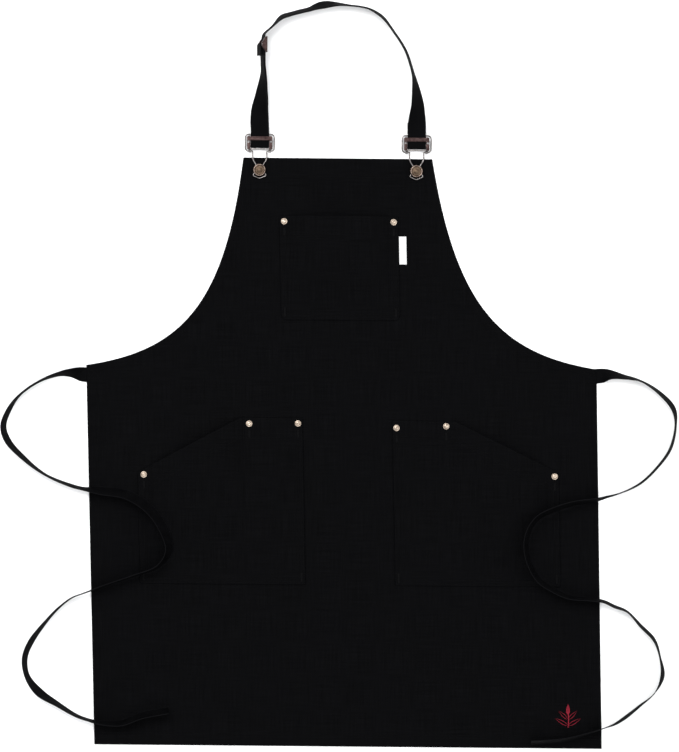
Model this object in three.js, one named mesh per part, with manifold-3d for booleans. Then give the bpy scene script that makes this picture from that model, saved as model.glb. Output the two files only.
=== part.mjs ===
// A bib apron laid flat: black canvas, a webbing neck strap on two buckles and two tape waist ties.
// Millimetres. +Z is up from the table, +Y runs from the bottom hem to the neck and +X across the bib.
// Cloth is drawn on its own pattern, u across from the middle and v up from the bottom hem.

import * as THREE from 'three';
import { mergeVertices } from 'three/addons/utils/BufferGeometryUtils.js';
import Module from 'manifold-3d';

const wasm = await Module();
wasm.setup();

const { lerp, smoothstep } = THREE.MathUtils;
const UP = new THREE.Vector3(0, 0, 1);

// ---------------------------------------------------------------- driving dimensions

// Cloth layers, from the table up
const CANVAS = 0.75;
const PLY_GAP = 0.05;
const HEM_TOP = 2 * CANVAS + PLY_GAP;
const PANEL_BOTTOM = HEM_TOP + PLY_GAP;
const PANEL_TOP = PANEL_BOTTOM + CANVAS;
const ON_PANEL = PANEL_TOP + PLY_GAP;

// Panel pattern
const LENGTH = 800;
const WAIST = 516;
const HALF_BIB = 128.5;
const HALF_WAIST = 347;
const HALF_BOTTOM = 345;
const ARMHOLE_PULL_AT_BIB = new THREE.Vector2(28.5, -202);
const ARMHOLE_PULL_AT_WAIST = new THREE.Vector2(-129, 20);
const ARMHOLE_STEPS = 18;
const BOTTOM_HEM = 19;
const SIDE_HEM = 15;
const SIDE_HEM_TOP = 490;
const BINDING = 10;
const BINDING_END = 0.94;
const TOP_FACING = 28;
const SEAM = 0.4;

// How the cloth lies on the table: it leans sideways going up, and one side sits a little lower
const LEAN = 0.01735;
const DROP = 0.009;
const BUCKLE_TURN = -Math.atan(DROP);
const CENTRE = new THREE.Vector3(1.5, 105, 0);

// Pockets, each from its inner or left edge; the mouth is stitched down over the flat stretch.
// A rivet is [across the pocket, below its mouth].
const BIB_POCKET = {
  name: 'bib_pocket', from: -81, side: 1, width: 162, height: 142, top: 721.7, hem: 31, corner: 8,
  flat: 162, slant: 0, open: [12, 150], gape: 9.5, fill: 0.75, columns: 8,
  rivets: [[6.5, 8], [155.5, 8]],
};
const HAND_POCKET = {
  width: 226, hem: 30, corner: 3, flat: 85, open: [80, 211], gape: 10, fill: 0.7, columns: 8,
};
const LEFT_HAND_POCKET = {
  ...HAND_POCKET, name: 'left_hand_pocket', from: -53.6, side: -1, height: 227.1, top: 446.5,
  slant: 75.2, rivets: [[6.8, 7.5], [73.2, 8.4], [217.7, 8]],
};
const RIGHT_HAND_POCKET = {
  ...HAND_POCKET, name: 'right_hand_pocket', from: 67.5, side: 1, height: 224.6, top: 444,
  slant: 69, rivets: [[6, 10], [73.6, 7.1], [220, 8.2]],
};
const POCKETS = [BIB_POCKET, LEFT_HAND_POCKET, RIGHT_HAND_POCKET];
const HEM_STEP = 7;

// Rivets
const RIVET_CAP = 4.5;
const RIVET_POST = 2;
const RIVET_HOLE = 2.3;
const RIVET_RIM = 0.5;
const RIVET_CROWN = 1.5;
const BURR_RADIUS = 3.6;
const BURR_BOTTOM = 0.8;
const RIVET_SIDES = 12;

// Label and motif
const LABEL = { u: 81.3, width: 10, height: 38, top: 694.4, thick: 0.7 };
const MOTIF = { u: 300, v: 28, height: 32, thick: 0.6 };

// Buttons
const BUTTON = { u: 106.6, v: 783, radius: 8.5, under: 7.4, top: 10.6, sides: 20 };
const SHANK_RADIUS = 2.4;
const SHANK_FOOT = 2.7;
const NAIL_RADIUS = 1.2;
const NAIL_HOLE = 1.6;
const NAIL_HEAD = 5;

// Buckle wire and plate, measured from the button's centre with y towards the neck
const WIRE = 1;
const WIRE_Z = 5.05;
const FRAME_HALF = 19.6;
const FRAME_LOW = 25.9;
const FRAME_HIGH = 48.4;
const FRAME_CORNER = 4;
const KNUCKLE = { inner: 1.3, outer: 2.1, from: 11.8, to: 15.2 };
const PLATE = { half: 17.2, window: 12.9, low: 28.2, high: 46, barLow: 40.2, bottom: 4.4, top: 9.1 };
const PLATE_BAR = 1.2;
const PLATE_FOOT = { low: 27.6, high: 29.5, half: 0.4 };
const ROLL_BAR = { y: 32.5, radius: 1 };
const EAR_HOLE = { radius: 1.2, x: 15.05, y: 38.2 };

// Neck strap
const STRAP_WIDTH = 25;
const STRAP_THICK = 1.2;
const STRAP_GAP = 0.3;
const LAYER_PITCH = STRAP_THICK + STRAP_GAP;
const BUCKLE_PITCH = 3.9;
const BUCKLE_STEP = [436, 468];
const RETURN_END = 549;
const TURNBACK_END = 449;
const HAIRPIN_STEPS = 8;
const STRAP_STEPS = 80;
const STRAP_TILT = 78;
const STRAP_LIFT = 3.9;

// Adjuster, in its own frame: x across the strap, y along it, z out of the loop
const ADJUSTER = {
  x: -107.5, y: 553, length: 22, rail: 2.6, inside: 12.9, bar: 0.8, barZ: 4.7, under: -2.5, over: -0.9,
};
const FOLD_TAIL = 14;
const FOLD_PITCH = 3.4;

// Waist ties
const TIE_WIDTH = 20;
const TIE_THICK = 1;
const TIE_STEPS = 80;

// Routes as [x, y, height of the lower edge, tilt in degrees], chosen by hand
const NECK_ROUTE = [
  [-112.9, 416.5, 2.5, 0], [-112.7, 436, 2.5, 0], [-113, 450, 2.2, 8], [-112.5, 466, 1.8, 24],
  [-110.5, 479.6, 1.5, 42], [-109, 493.2, 1.7, 57], [-107.5, 506.8, 2.6, 68],
  [-107, 518, 3.6, STRAP_TILT], [-107.5, 527, STRAP_LIFT, STRAP_TILT],
  [-107.5, 546, STRAP_LIFT, STRAP_TILT], [-107.5, 566, STRAP_LIFT, STRAP_TILT],
  [-105.6, 569.6, 3.8, 82], [-101.3, 573.4, 3.4, 86], [-96, 578, 2.8, 84], [-91.2, 583, 2.2, 80],
  [-87, 587.6, 1.7, 74], [-82, 591.6, 1.3, 69], [-72, 594.8, 0.8, 73], [-58.4, 598.5, 0.5, 72],
  [-44.8, 601.8, 0.3, 73], [-38, 604.6, 0.3, 67], [-31.2, 606.8, 0.3, 61], [-24.4, 608, 0.3, 61],
  [-17.6, 608.6, 0.3, 65], [-3.9, 608.4, 0.3, 77], [9.7, 606.9, 0.3, 85], [23.3, 605.4, 0.3, 83],
  [36.9, 602, 0.3, 81], [50.5, 593.9, 0.3, 77], [57.3, 587.5, 0.3, 79], [64.1, 578.5, 0.3, 86],
  [72.2, 566.9, 0.3, 87], [77.9, 558.6, 0.3, 86], [84.5, 547.2, 0.3, 85], [88.8, 536.7, 0.3, 86],
  [92.2, 525.8, 0.3, 86], [95.1, 515.5, 0.3, 83], [97.3, 506.4, 0.4, 76], [99.4, 493.2, 0.8, 64],
  [101, 479.6, 1.6, 52], [101.6, 470, 2.5, 44], [101.1, 459.2, 3.9, 32], [100.6, 447, 5.7, 12],
  [100.4, 437, 6.4, 0], [100.3, 414.5, 6.4, 0],
];
const LEFT_TIE_ROUTE = [
  [-327, 105, 0.2, 0], [-352, 106, 0.2, 0], [-366, 108, 0.2, 50], [-384, 107, 0.2, 74],
  [-412, 97, 0.2, 85], [-439, 78, 0.2, 86], [-453, 59, 0.2, 76], [-461, 36, 0.2, 72],
  [-455, 16, 0.2, 69], [-434, -7, 0.2, 76], [-404, -30, 0.2, 86], [-368, -45, 0.2, 80],
  [-352, -49, 2.7, 80], [-328, -52, 3, 60], [-294, -57, 5, 53], [-263, -76, 9.5, 53],
  [-243, -104, 10.5, 54], [-236, -133, 9, 64], [-250, -154, 5.5, 78], [-285, -168, 3.6, 81],
  [-325, -181, 2.9, 84], [-352, -191, 2.7, 85], [-368, -197, 0.2, 86], [-385, -210, 0.2, 84],
  [-401, -227, 0.2, 81], [-423, -256, 0.2, 70], [-432, -279, 0.2, 73], [-429, -303, 0.2, 77],
  [-413, -325, 0.2, 61], [-387, -342, 0.2, 77], [-362, -357, 0.2, 84], [-345, -363, 2.7, 85],
  [-328, -367, 2.8, 81], [-300, -367, 2.8, 73], [-273, -357, 2.8, 69], [-237, -350, 2.8, 69],
];
const RIGHT_TIE_ROUTE = [
  [322, 103, 0.2, 0], [349, 104, 0.2, 0], [362, 106, 0.2, 50], [381, 103, 0.2, 72],
  [405, 97, 0.2, 84], [431, 80, 0.2, 73], [449, 59, 0.2, 67], [452, 38, 0.2, 79],
  [446, 8, 0.2, 75], [433, -13, 0.2, 77], [405, -41, 0.2, 79], [377, -55, 0.2, 85],
  [358, -60.5, 2.7, 79], [341, -65, 2.8, 73], [314, -69, 4.5, 71], [290, -76, 7.5, 69],
  [264, -89, 10.5, 69], [250, -112, 10.5, 69], [250, -140, 9, 69], [265, -172, 5.5, 69],
  [283, -185, 4, 71], [306, -196, 2.9, 77], [333, -199, 2.8, 81], [354, -202, 2.7, 81],
  [369, -209, 0.2, 80], [386, -216, 0.2, 85], [404, -235, 0.2, 78], [423, -255, 0.2, 77],
  [431, -279, 0.2, 82], [434, -304, 0.2, 68], [423, -327, 0.2, 84], [403, -344, 0.2, 75],
  [383, -360, 0.2, 71], [369, -369, 0.2, 76], [355, -374, 2.7, 83], [338, -380, 2.7, 79],
  [302, -390, 2.7, 71], [255, -394, 2.7, 69],
];

// ---------------------------------------------------------------- materials

function material(color, roughness, metalness) {
  return new THREE.MeshStandardMaterial({ color, roughness, metalness });
}

const canvas = material(0x141418, 0.92, 0);
const webbing = material(0x1a1a1d, 0.85, 0);
const tape = material(0x18181b, 0.88, 0);
const whiteSatin = material(0xe9e9e6, 0.8, 0);
const redThread = material(0xb8182a, 0.75, 0);
const agedBrass = material(0x8a6a42, 0.42, 0.9);
const brownMetal = material(0x4a3530, 0.45, 0.85);
const steelWire = material(0x8f8b88, 0.3, 0.95);

// ---------------------------------------------------------------- shared shapes

const model = new THREE.Group();
model.position.copy(CENTRE).negate();

function add(parent, name, geometry, surface) {
  const mesh = new THREE.Mesh(geometry, surface);
  mesh.name = name;
  parent.add(mesh);
  return mesh;
}

// Where pattern point (u, v) lies on the table
function lay(u, v) {
  const rise = v - LENGTH / 2;
  return new THREE.Vector2(u - LEAN * rise, rise - DROP * u);
}

// Moves every vertex of a geometry to the place that the function gives for it
function reshape(geometry, place) {
  const position = geometry.attributes.position;
  const point = new THREE.Vector3();
  for (let index = 0; index < position.count; index += 1) {
    point.fromBufferAttribute(position, index);
    place(point, index);
    position.setXYZ(index, point.x, point.y, point.z);
  }
  return geometry;
}

// Turns a mirrored geometry's faces outwards again
function turnFaces(geometry) {
  const index = geometry.index;
  for (let face = 0; face < index.count; face += 3) {
    const first = index.getX(face);
    index.setX(face, index.getX(face + 2));
    index.setX(face + 2, first);
  }
  return geometry;
}

function layFlat(geometry) {
  return reshape(geometry, (point) => {
    const place = lay(point.x, point.y);
    point.set(place.x, place.y, point.z);
  });
}

// A flat piece of cloth cut to a pattern outline, between two heights
function cutCloth(outline, bottom, top, holes = []) {
  const shape = new THREE.Shape(outline);
  for (const { centre, radius } of holes) {
    const hole = new THREE.Path();
    hole.absarc(centre.x, centre.y, radius, 0, 2 * Math.PI, true);
    shape.holes.push(hole);
  }
  const settings = { depth: top - bottom, bevelEnabled: false, curveSegments: RIVET_SIDES };
  return layFlat(new THREE.ExtrudeGeometry(shape, settings).translate(0, 0, bottom));
}

function rectangle(left, bottom, right, top) {
  const corners = [[left, bottom], [right, bottom], [right, top], [left, top]];
  return corners.map(([x, y]) => new THREE.Vector2(x, y));
}

function solidOf(geometry) {
  const bare = geometry.clone();
  bare.deleteAttribute('normal');
  bare.deleteAttribute('uv');
  const merged = mergeVertices(bare, 1e-4);
  const vertProperties = new Float32Array(merged.attributes.position.array);
  const triVerts = new Uint32Array(merged.index.array);
  return new wasm.Manifold(new wasm.Mesh({ numProp: 3, vertProperties, triVerts }));
}

function geometryOf(solid) {
  const { vertProperties, triVerts } = solid.getMesh();
  const geometry = new THREE.BufferGeometry();
  geometry.setAttribute('position', new THREE.BufferAttribute(vertProperties, 3));
  geometry.setIndex(new THREE.BufferAttribute(triVerts, 1));
  geometry.computeVertexNormals();
  return geometry;
}

function joined(geometries) {
  return geometryOf(geometries.map(solidOf).reduce((sum, solid) => sum.add(solid)));
}

function cutAway(geometry, tools) {
  return geometryOf(tools.map(solidOf).reduce((rest, tool) => rest.subtract(tool), solidOf(geometry)));
}

function drill(x, y, radius) {
  const cylinder = new THREE.CylinderGeometry(radius, radius, 40, RIVET_SIDES);
  return cylinder.rotateX(Math.PI / 2).translate(x, y, 0);
}

function lathe(profile, sides) {
  const points = profile.map(([radius, height]) => new THREE.Vector2(radius, height));
  return new THREE.LatheGeometry(points, sides).rotateX(Math.PI / 2);
}

function box(low, high) {
  const size = new THREE.Vector3(...high).sub(new THREE.Vector3(...low));
  const middle = new THREE.Vector3(...high).add(new THREE.Vector3(...low)).multiplyScalar(0.5);
  return new THREE.BoxGeometry(size.x, size.y, size.z).translate(middle.x, middle.y, middle.z);
}

// A strap along stations of { place, side }: side points across the strap to the left of its travel
function band(stations, width, thick) {
  const steps = stations.length - 1;
  const frames = stations.map(({ place, side }, index) => {
    const before = stations[Math.max(index - 1, 0)].place;
    const after = stations[Math.min(index + 1, steps)].place;
    const travel = after.clone().sub(before).normalize();
    const face = travel.clone().cross(side).normalize();
    return { place, side, face };
  });
  return reshape(new THREE.BoxGeometry(1, 1, 1, steps, 1, 1), (point) => {
    const { place, side, face } = frames[Math.round((point.x + 0.5) * steps)];
    const across = point.y * width;
    const through = point.z * thick;
    point.copy(place).addScaledVector(side, across).addScaledVector(face, through);
  });
}

// Stations along a route: a smooth line on the table, with the height and tilt between its points
function stationsAlong(route, width, thick, steps) {
  const line = new THREE.CatmullRomCurve3(route.map(([x, y]) => new THREE.Vector3(x, y, 0)));
  line.arcLengthDivisions = 1000;
  const stations = [];
  for (let step = 0; step <= steps; step += 1) {
    const share = line.getUtoTmapping(step / steps);
    const at = share * (route.length - 1);
    const leg = Math.min(Math.floor(at), route.length - 2);
    const [, , fromHeight, fromTilt] = route[leg];
    const [, , toHeight, toTilt] = route[leg + 1];
    const tilt = THREE.MathUtils.degToRad(lerp(fromTilt, toTilt, at - leg));
    const left = UP.clone().cross(line.getTangent(share)).normalize();
    const side = left.clone().multiplyScalar(Math.cos(tilt)).addScaledVector(UP, -Math.sin(tilt));
    const face = left.clone().multiplyScalar(Math.sin(tilt)).addScaledVector(UP, Math.cos(tilt));
    const place = line.getPoint(share);
    place.z = lerp(fromHeight, toHeight, at - leg);
    place.z += (width * Math.sin(tilt) + thick * Math.cos(tilt)) / 2;
    stations.push({ place, side, face });
  }
  return stations;
}

// A round wire bent along a closed flat outline that runs anticlockwise
function closedWire(outline, radius, steps, sides) {
  const points = outline.map(([x, y]) => new THREE.Vector3(x, y, 0));
  const line = new THREE.CatmullRomCurve3(points, true, 'centripetal');
  line.arcLengthDivisions = 1000;
  return reshape(new THREE.TorusGeometry(1, 0.1, sides, steps), (point, index) => {
    const step = (index % (steps + 1)) % steps;
    const around = (Math.floor(index / (steps + 1)) / sides) * 2 * Math.PI;
    const outward = line.getTangentAt(step / steps).cross(UP);
    point.copy(line.getPointAt(step / steps));
    point.addScaledVector(outward, radius * Math.cos(around)).addScaledVector(UP, radius * Math.sin(around));
  });
}

// ---------------------------------------------------------------- apron panel, hems and bindings

const armhole = new THREE.CubicBezierCurve(
  new THREE.Vector2(HALF_BIB, LENGTH),
  new THREE.Vector2(HALF_BIB, LENGTH).add(ARMHOLE_PULL_AT_BIB),
  new THREE.Vector2(HALF_WAIST, WAIST).add(ARMHOLE_PULL_AT_WAIST),
  new THREE.Vector2(HALF_WAIST, WAIST),
);

// Points of the right armhole from the bib to a share of the way to the waist, moved in by some depth
function armholePoints(depth, end = 1) {
  const points = [];
  for (let step = 0; step <= ARMHOLE_STEPS; step += 1) {
    const share = (end * step) / ARMHOLE_STEPS;
    const tangent = armhole.getTangent(share);
    points.push(armhole.getPoint(share).add(new THREE.Vector2(tangent.y, -tangent.x).multiplyScalar(depth)));
  }
  return points;
}

function mirrored(points) {
  return points.map((point) => new THREE.Vector2(-point.x, point.y)).reverse();
}

function addMirrored(name, outline, bottom, top) {
  add(model, `right_${name}`, cutCloth(outline, bottom, top), canvas);
  add(model, `left_${name}`, cutCloth(mirrored(outline), bottom, top), canvas);
}

function rivetSpots(pocket) {
  return pocket.rivets.map(([across, below]) => {
    const u = pocket.from + pocket.side * across;
    return new THREE.Vector2(u, mouthAt(pocket, across) - below);
  });
}

function addPanel() {
  const rightArm = armholePoints(0).reverse();
  const outline = [
    new THREE.Vector2(-HALF_BOTTOM, 0), new THREE.Vector2(HALF_BOTTOM, 0),
    ...rightArm, ...mirrored(rightArm),
  ];
  const rivetHoles = POCKETS.flatMap(rivetSpots).map((centre) => ({ centre, radius: RIVET_HOLE }));
  const panelHoles = [...rivetHoles, ...nailHoles()];
  add(model, 'apron_panel', cutCloth(outline, PANEL_BOTTOM, PANEL_TOP, panelHoles), canvas);
}

function nailHoles() {
  return [-1, 1].map((hand) => ({
    centre: new THREE.Vector2(hand * BUTTON.u, BUTTON.v), radius: NAIL_HOLE,
  }));
}

function addHems() {
  const sideAt = (v) => lerp(HALF_BOTTOM, HALF_WAIST, v / WAIST);
  const bottomHem = rectangle(-HALF_BOTTOM, 0, HALF_BOTTOM, BOTTOM_HEM);
  add(model, 'bottom_hem', cutCloth(bottomHem, 0, HEM_TOP), canvas);

  const foot = BOTTOM_HEM + SEAM;
  const sideHem = [
    new THREE.Vector2(sideAt(foot) - SIDE_HEM, foot), new THREE.Vector2(sideAt(foot), foot),
    new THREE.Vector2(sideAt(SIDE_HEM_TOP), SIDE_HEM_TOP),
    new THREE.Vector2(sideAt(SIDE_HEM_TOP) - SIDE_HEM, SIDE_HEM_TOP),
  ];
  addMirrored('side_hem', sideHem, 0, HEM_TOP);

  const inner = armholePoints(BINDING, BINDING_END);
  inner[0].y = LENGTH;
  const binding = [...inner, ...armholePoints(0, BINDING_END).reverse()];
  addMirrored('armhole_binding', binding, 0, HEM_TOP);

  const facingLow = LENGTH - TOP_FACING;
  const facingEdge = armholePoints(BINDING + SEAM).filter((point) => point.y > facingLow);
  facingEdge[0].y = LENGTH;
  const slope = armhole.getTangent(0);
  const last = facingEdge[facingEdge.length - 1];
  const corner = new THREE.Vector2(last.x + ((facingLow - last.y) * slope.x) / slope.y, facingLow);
  const rightEdge = [corner, ...facingEdge.reverse()];
  const facing = cutCloth([...rightEdge, ...mirrored(rightEdge)], HEM_TOP - CANVAS, HEM_TOP, nailHoles());
  add(model, 'top_facing', facing, canvas);
}

// ---------------------------------------------------------------- pockets

// Pattern height of a pocket's mouth at a distance across from its first edge
function mouthAt(pocket, across) {
  const beyond = Math.max(across - pocket.flat, 0);
  return pocket.top - (pocket.slant * beyond) / Math.max(pocket.width - pocket.flat, 1);
}

// Pattern height of a pocket's bottom edge, with its rounded corners
function footAt(pocket, across) {
  const into = Math.max(pocket.corner - Math.min(across, pocket.width - across), 0);
  const rise = pocket.corner - Math.sqrt(pocket.corner ** 2 - into ** 2);
  return pocket.top - pocket.height + rise;
}

// How far the cloth stands up from the panel where the pocket gapes
function gapeAt(pocket, across, v) {
  const [start, end] = pocket.open;
  const along = THREE.MathUtils.clamp((across - start) / (end - start), 0, 1);
  const bow = Math.sin(Math.PI * along) ** 0.6;
  const foot = pocket.top - pocket.height;
  const rise = smoothstep((v - foot) / (mouthAt(pocket, across) - foot), 0, pocket.fill);
  return pocket.gape * bow * rise;
}

// Places across a pocket where its grid has a line: the corners, and the two ends of the opening
function columnsOf(pocket) {
  const [start, end] = pocket.open;
  const columns = [0, pocket.corner * 0.3, pocket.corner];
  for (let step = 0; step <= pocket.columns; step += 1) {
    columns.push(lerp(start, end, step / pocket.columns));
  }
  if (start > pocket.corner * 3) columns.push(start / 2);
  columns.push(pocket.width - pocket.corner, pocket.width - pocket.corner * 0.3, pocket.width);
  return columns.sort((first, second) => first - second);
}

// A sheet on the panel over a grid: rows gives the pattern height of each grid row at a distance across
function pocketSheet(pocket, rows, rowCount, lift) {
  const columns = columnsOf(pocket);
  const grid = new THREE.BoxGeometry(1, 1, 1, columns.length - 1, rowCount, 1);
  reshape(grid, (point) => {
    const across = columns[Math.round((point.x + 0.5) * (columns.length - 1))];
    const row = Math.round((point.y + 0.5) * rowCount);
    const v = rows(across, row);
    const height = ON_PANEL + gapeAt(pocket, across, v) + lift(row);
    point.set(pocket.from + pocket.side * across, v, height + (point.z > 0 ? CANVAS : 0));
  });
  const drills = rivetSpots(pocket).map((spot) => drill(spot.x, spot.y, RIVET_HOLE));
  return layFlat(cutAway(pocket.side < 0 ? turnFaces(grid) : grid, drills));
}

function addPocket(pocket) {
  const hemRows = 3;
  const clothRows = 6;
  const hemHeight = (across, row) => mouthAt(pocket, across) - pocket.hem * (1 - row / hemRows);
  const clothHeight = (across, row) => {
    const step = row - clothRows;
    if (step >= 0) return hemHeight(across, step);
    return lerp(footAt(pocket, across), hemHeight(across, 0) - HEM_STEP, row / (clothRows - 1));
  };
  const overHem = (row) => (row >= clothRows ? CANVAS + PLY_GAP : 0);
  const cloth = pocketSheet(pocket, clothHeight, clothRows + hemRows, overHem);
  add(model, pocket.name, cloth, canvas);
  add(model, `${pocket.name}_hem`, pocketSheet(pocket, hemHeight, hemRows, () => 0), canvas);
}

// ---------------------------------------------------------------- rivets, label and motif

function rivetName(pocket, index) {
  return `${pocket.name}_rivet_${index + 1}`;
}

function addRivets(pocket) {
  const seat = ON_PANEL + 2 * CANVAS + 3 * PLY_GAP;
  const cap = [
    [0, BURR_BOTTOM], [RIVET_POST, BURR_BOTTOM], [RIVET_POST, seat], [RIVET_CAP, seat],
    [RIVET_CAP, seat + RIVET_RIM], [RIVET_CAP * 0.72, seat + RIVET_CROWN * 0.86], [0, seat + RIVET_CROWN],
  ];
  const burr = [
    [RIVET_HOLE, BURR_BOTTOM], [BURR_RADIUS, BURR_BOTTOM], [BURR_RADIUS, HEM_TOP],
    [RIVET_HOLE, HEM_TOP], [RIVET_HOLE, BURR_BOTTOM],
  ];
  rivetSpots(pocket).forEach((spot, index) => {
    const place = lay(spot.x, spot.y);
    const name = rivetName(pocket, index);
    add(model, name, lathe(cap, RIVET_SIDES), agedBrass).position.set(place.x, place.y, 0);
    add(model, `${name}_burr`, lathe(burr, RIVET_SIDES), agedBrass).position.set(place.x, place.y, 0);
  });
}

function addLabel() {
  const outline = rectangle(LABEL.u, LABEL.top - LABEL.height, LABEL.u + LABEL.width, LABEL.top);
  add(model, 'label_tag', cutCloth(outline, ON_PANEL, ON_PANEL + LABEL.thick), whiteSatin);
}

// A sprig: a stem with a leaf at its tip and a pair of leaves below, drawn as one outline
function addMotif() {
  const tall = MOTIF.height;
  const stem = tall * 0.04;
  const leaf = (reach, rise) => [
    [stem, rise], [reach * 0.45, rise + tall * 0.04], [reach, rise + tall * 0.3],
    [reach * 0.5, rise + tall * 0.3], [stem, rise + tall * 0.12],
  ];
  const half = [
    [stem, 0], ...leaf(tall * 0.5, tall * 0.12), ...leaf(tall * 0.36, tall * 0.4),
    [stem, tall * 0.62], [tall * 0.11, tall * 0.78],
  ];
  const right = half.map(([x, y]) => new THREE.Vector2(MOTIF.u + x, MOTIF.v + y));
  const left = half.map(([x, y]) => new THREE.Vector2(MOTIF.u - x, MOTIF.v + y)).reverse();
  const outline = [...right, new THREE.Vector2(MOTIF.u, MOTIF.v + tall), ...left];
  add(model, 'embroidered_motif', cutCloth(outline, ON_PANEL, ON_PANEL + MOTIF.thick), redThread);
}

// ---------------------------------------------------------------- buttons and buckles

function buttonCap() {
  const { radius, under, top } = BUTTON;
  const blind = under + 0.2;
  return lathe([
    [NAIL_HOLE, SHANK_FOOT], [SHANK_RADIUS, SHANK_FOOT], [SHANK_RADIUS, under], [radius - 1, under],
    [radius, under + 1], [radius, under + 1.8], [radius - 0.9, top], [radius - 1.7, top],
    [radius - 2.3, top - 1], [0, top - 1], [0, blind], [NAIL_HOLE, blind], [NAIL_HOLE, SHANK_FOOT],
  ], BUTTON.sides);
}

function buttonFace() {
  const floor = BUTTON.top - 1 + 0.3;
  const radius = BUTTON.radius - 2.6;
  return lathe([
    [0, floor], [radius, floor], [radius, floor + 0.4], [radius * 0.5, floor + 0.7], [0, floor + 0.75],
  ], BUTTON.sides);
}

function buttonNail() {
  const headTop = HEM_TOP - CANVAS - PLY_GAP;
  return lathe([
    [0, 0], [NAIL_HEAD, 0], [NAIL_HEAD, headTop], [NAIL_RADIUS, headTop],
    [NAIL_RADIUS, BUTTON.under - 0.4], [0, BUTTON.under - 0.1],
  ], RIVET_SIDES);
}

// Half of the wire, anticlockwise from the bottom of the button loop up to the frame's top edge
function wireHalf() {
  const round = FRAME_CORNER * 0.3;
  return [
    [2.6, -10.2], [5.4, -8.8], [7.8, -8], [8.5, -6.5], [7.2, -4.4], [4.4, 0.4], [3.5, 4.2],
    [5.4, 8.2], [8.4, 13], [9.7, 18.5], [9.5, 23], [9.8, 25.1], [11.4, FRAME_LOW],
    [13.5, FRAME_LOW], [FRAME_HALF - FRAME_CORNER, FRAME_LOW],
    [FRAME_HALF - round, FRAME_LOW + round], [FRAME_HALF, FRAME_LOW + FRAME_CORNER],
    [FRAME_HALF, (FRAME_LOW + FRAME_HIGH) / 2], [FRAME_HALF, FRAME_HIGH - FRAME_CORNER],
    [FRAME_HALF - round, FRAME_HIGH - round], [FRAME_HALF - FRAME_CORNER, FRAME_HIGH],
    [FRAME_HALF / 3, FRAME_HIGH],
  ];
}

function buckleWire() {
  const right = wireHalf();
  const left = right.map(([x, y]) => [-x, y]).reverse();
  return closedWire([[0, -10.9], ...right, ...left], WIRE, 72, 6);
}

function knuckle(from, to) {
  const ring = new THREE.Shape();
  ring.absarc(0, 0, KNUCKLE.outer, 0, 2 * Math.PI);
  const hole = new THREE.Path();
  hole.absarc(0, 0, KNUCKLE.inner, 0, 2 * Math.PI, true);
  ring.holes.push(hole);
  const tube = new THREE.ExtrudeGeometry(ring, { depth: to - from, bevelEnabled: false, curveSegments: 8 });
  return tube.rotateY(Math.PI / 2).translate(from, FRAME_LOW, WIRE_Z);
}

function bucklePlate() {
  const { half, window, low, high, barLow, bottom, top } = PLATE;
  const rollBar = new THREE.CylinderGeometry(ROLL_BAR.radius, ROLL_BAR.radius, 2 * window + 2, 10);
  const pieces = [
    box([-half, low, bottom], [-window, high, top]),
    box([window, low, bottom], [half, high, top]),
    box([-half + 0.5, barLow, top - PLATE_BAR], [half - 0.5, high - 0.5, top]),
    box([-half + 0.5, PLATE_FOOT.low, WIRE_Z - PLATE_FOOT.half],
      [half - 0.5, PLATE_FOOT.high, WIRE_Z + PLATE_FOOT.half]),
    rollBar.rotateZ(Math.PI / 2).translate(0, ROLL_BAR.y, WIRE_Z),
    knuckle(-KNUCKLE.to, -KNUCKLE.from),
    knuckle(KNUCKLE.from, KNUCKLE.to),
  ];
  const earHoles = [-1, 1].map((hand) => drill(hand * EAR_HOLE.x, EAR_HOLE.y, EAR_HOLE.radius));
  return cutAway(joined(pieces), earHoles);
}

function addButtonAndBuckle(name, hand) {
  const place = lay(hand * BUTTON.u, BUTTON.v);
  const corner = new THREE.Group();
  corner.position.set(place.x, place.y, 0);
  corner.rotation.z = BUCKLE_TURN;
  add(corner, `${name}_button_nail`, buttonNail(), agedBrass);
  add(corner, `${name}_button_cap`, buttonCap(), agedBrass);
  add(corner, `${name}_button_face`, buttonFace(), brownMetal);
  add(corner, `${name}_buckle_wire`, buckleWire(), steelWire).position.z = WIRE_Z;
  add(corner, `${name}_buckle_plate`, bucklePlate(), brownMetal);
  model.add(corner);
}

// ---------------------------------------------------------------- neck strap and adjuster

// Distance between the two layers of the strap at a distance up the table
function pitchAt(y) {
  return lerp(BUCKLE_PITCH, LAYER_PITCH, smoothstep(y, ...BUCKLE_STEP));
}

// The turn round a buckle's roll bar, from the upper layer to the lower one
function hairpin(centre, side, radius) {
  const turn = [];
  for (let step = 1; step < HAIRPIN_STEPS; step += 1) {
    const angle = (Math.PI * step) / HAIRPIN_STEPS;
    const place = centre.clone();
    place.y -= radius * Math.sin(angle);
    place.z += radius * Math.cos(angle);
    turn.push({ place, side });
  }
  return turn;
}

function rollBarPlace(hand) {
  const button = lay(hand * BUTTON.u, BUTTON.v);
  const offset = new THREE.Vector3(0, ROLL_BAR.y, WIRE_Z).applyAxisAngle(UP, BUCKLE_TURN);
  return offset.add(new THREE.Vector3(button.x, button.y, 0));
}

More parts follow.
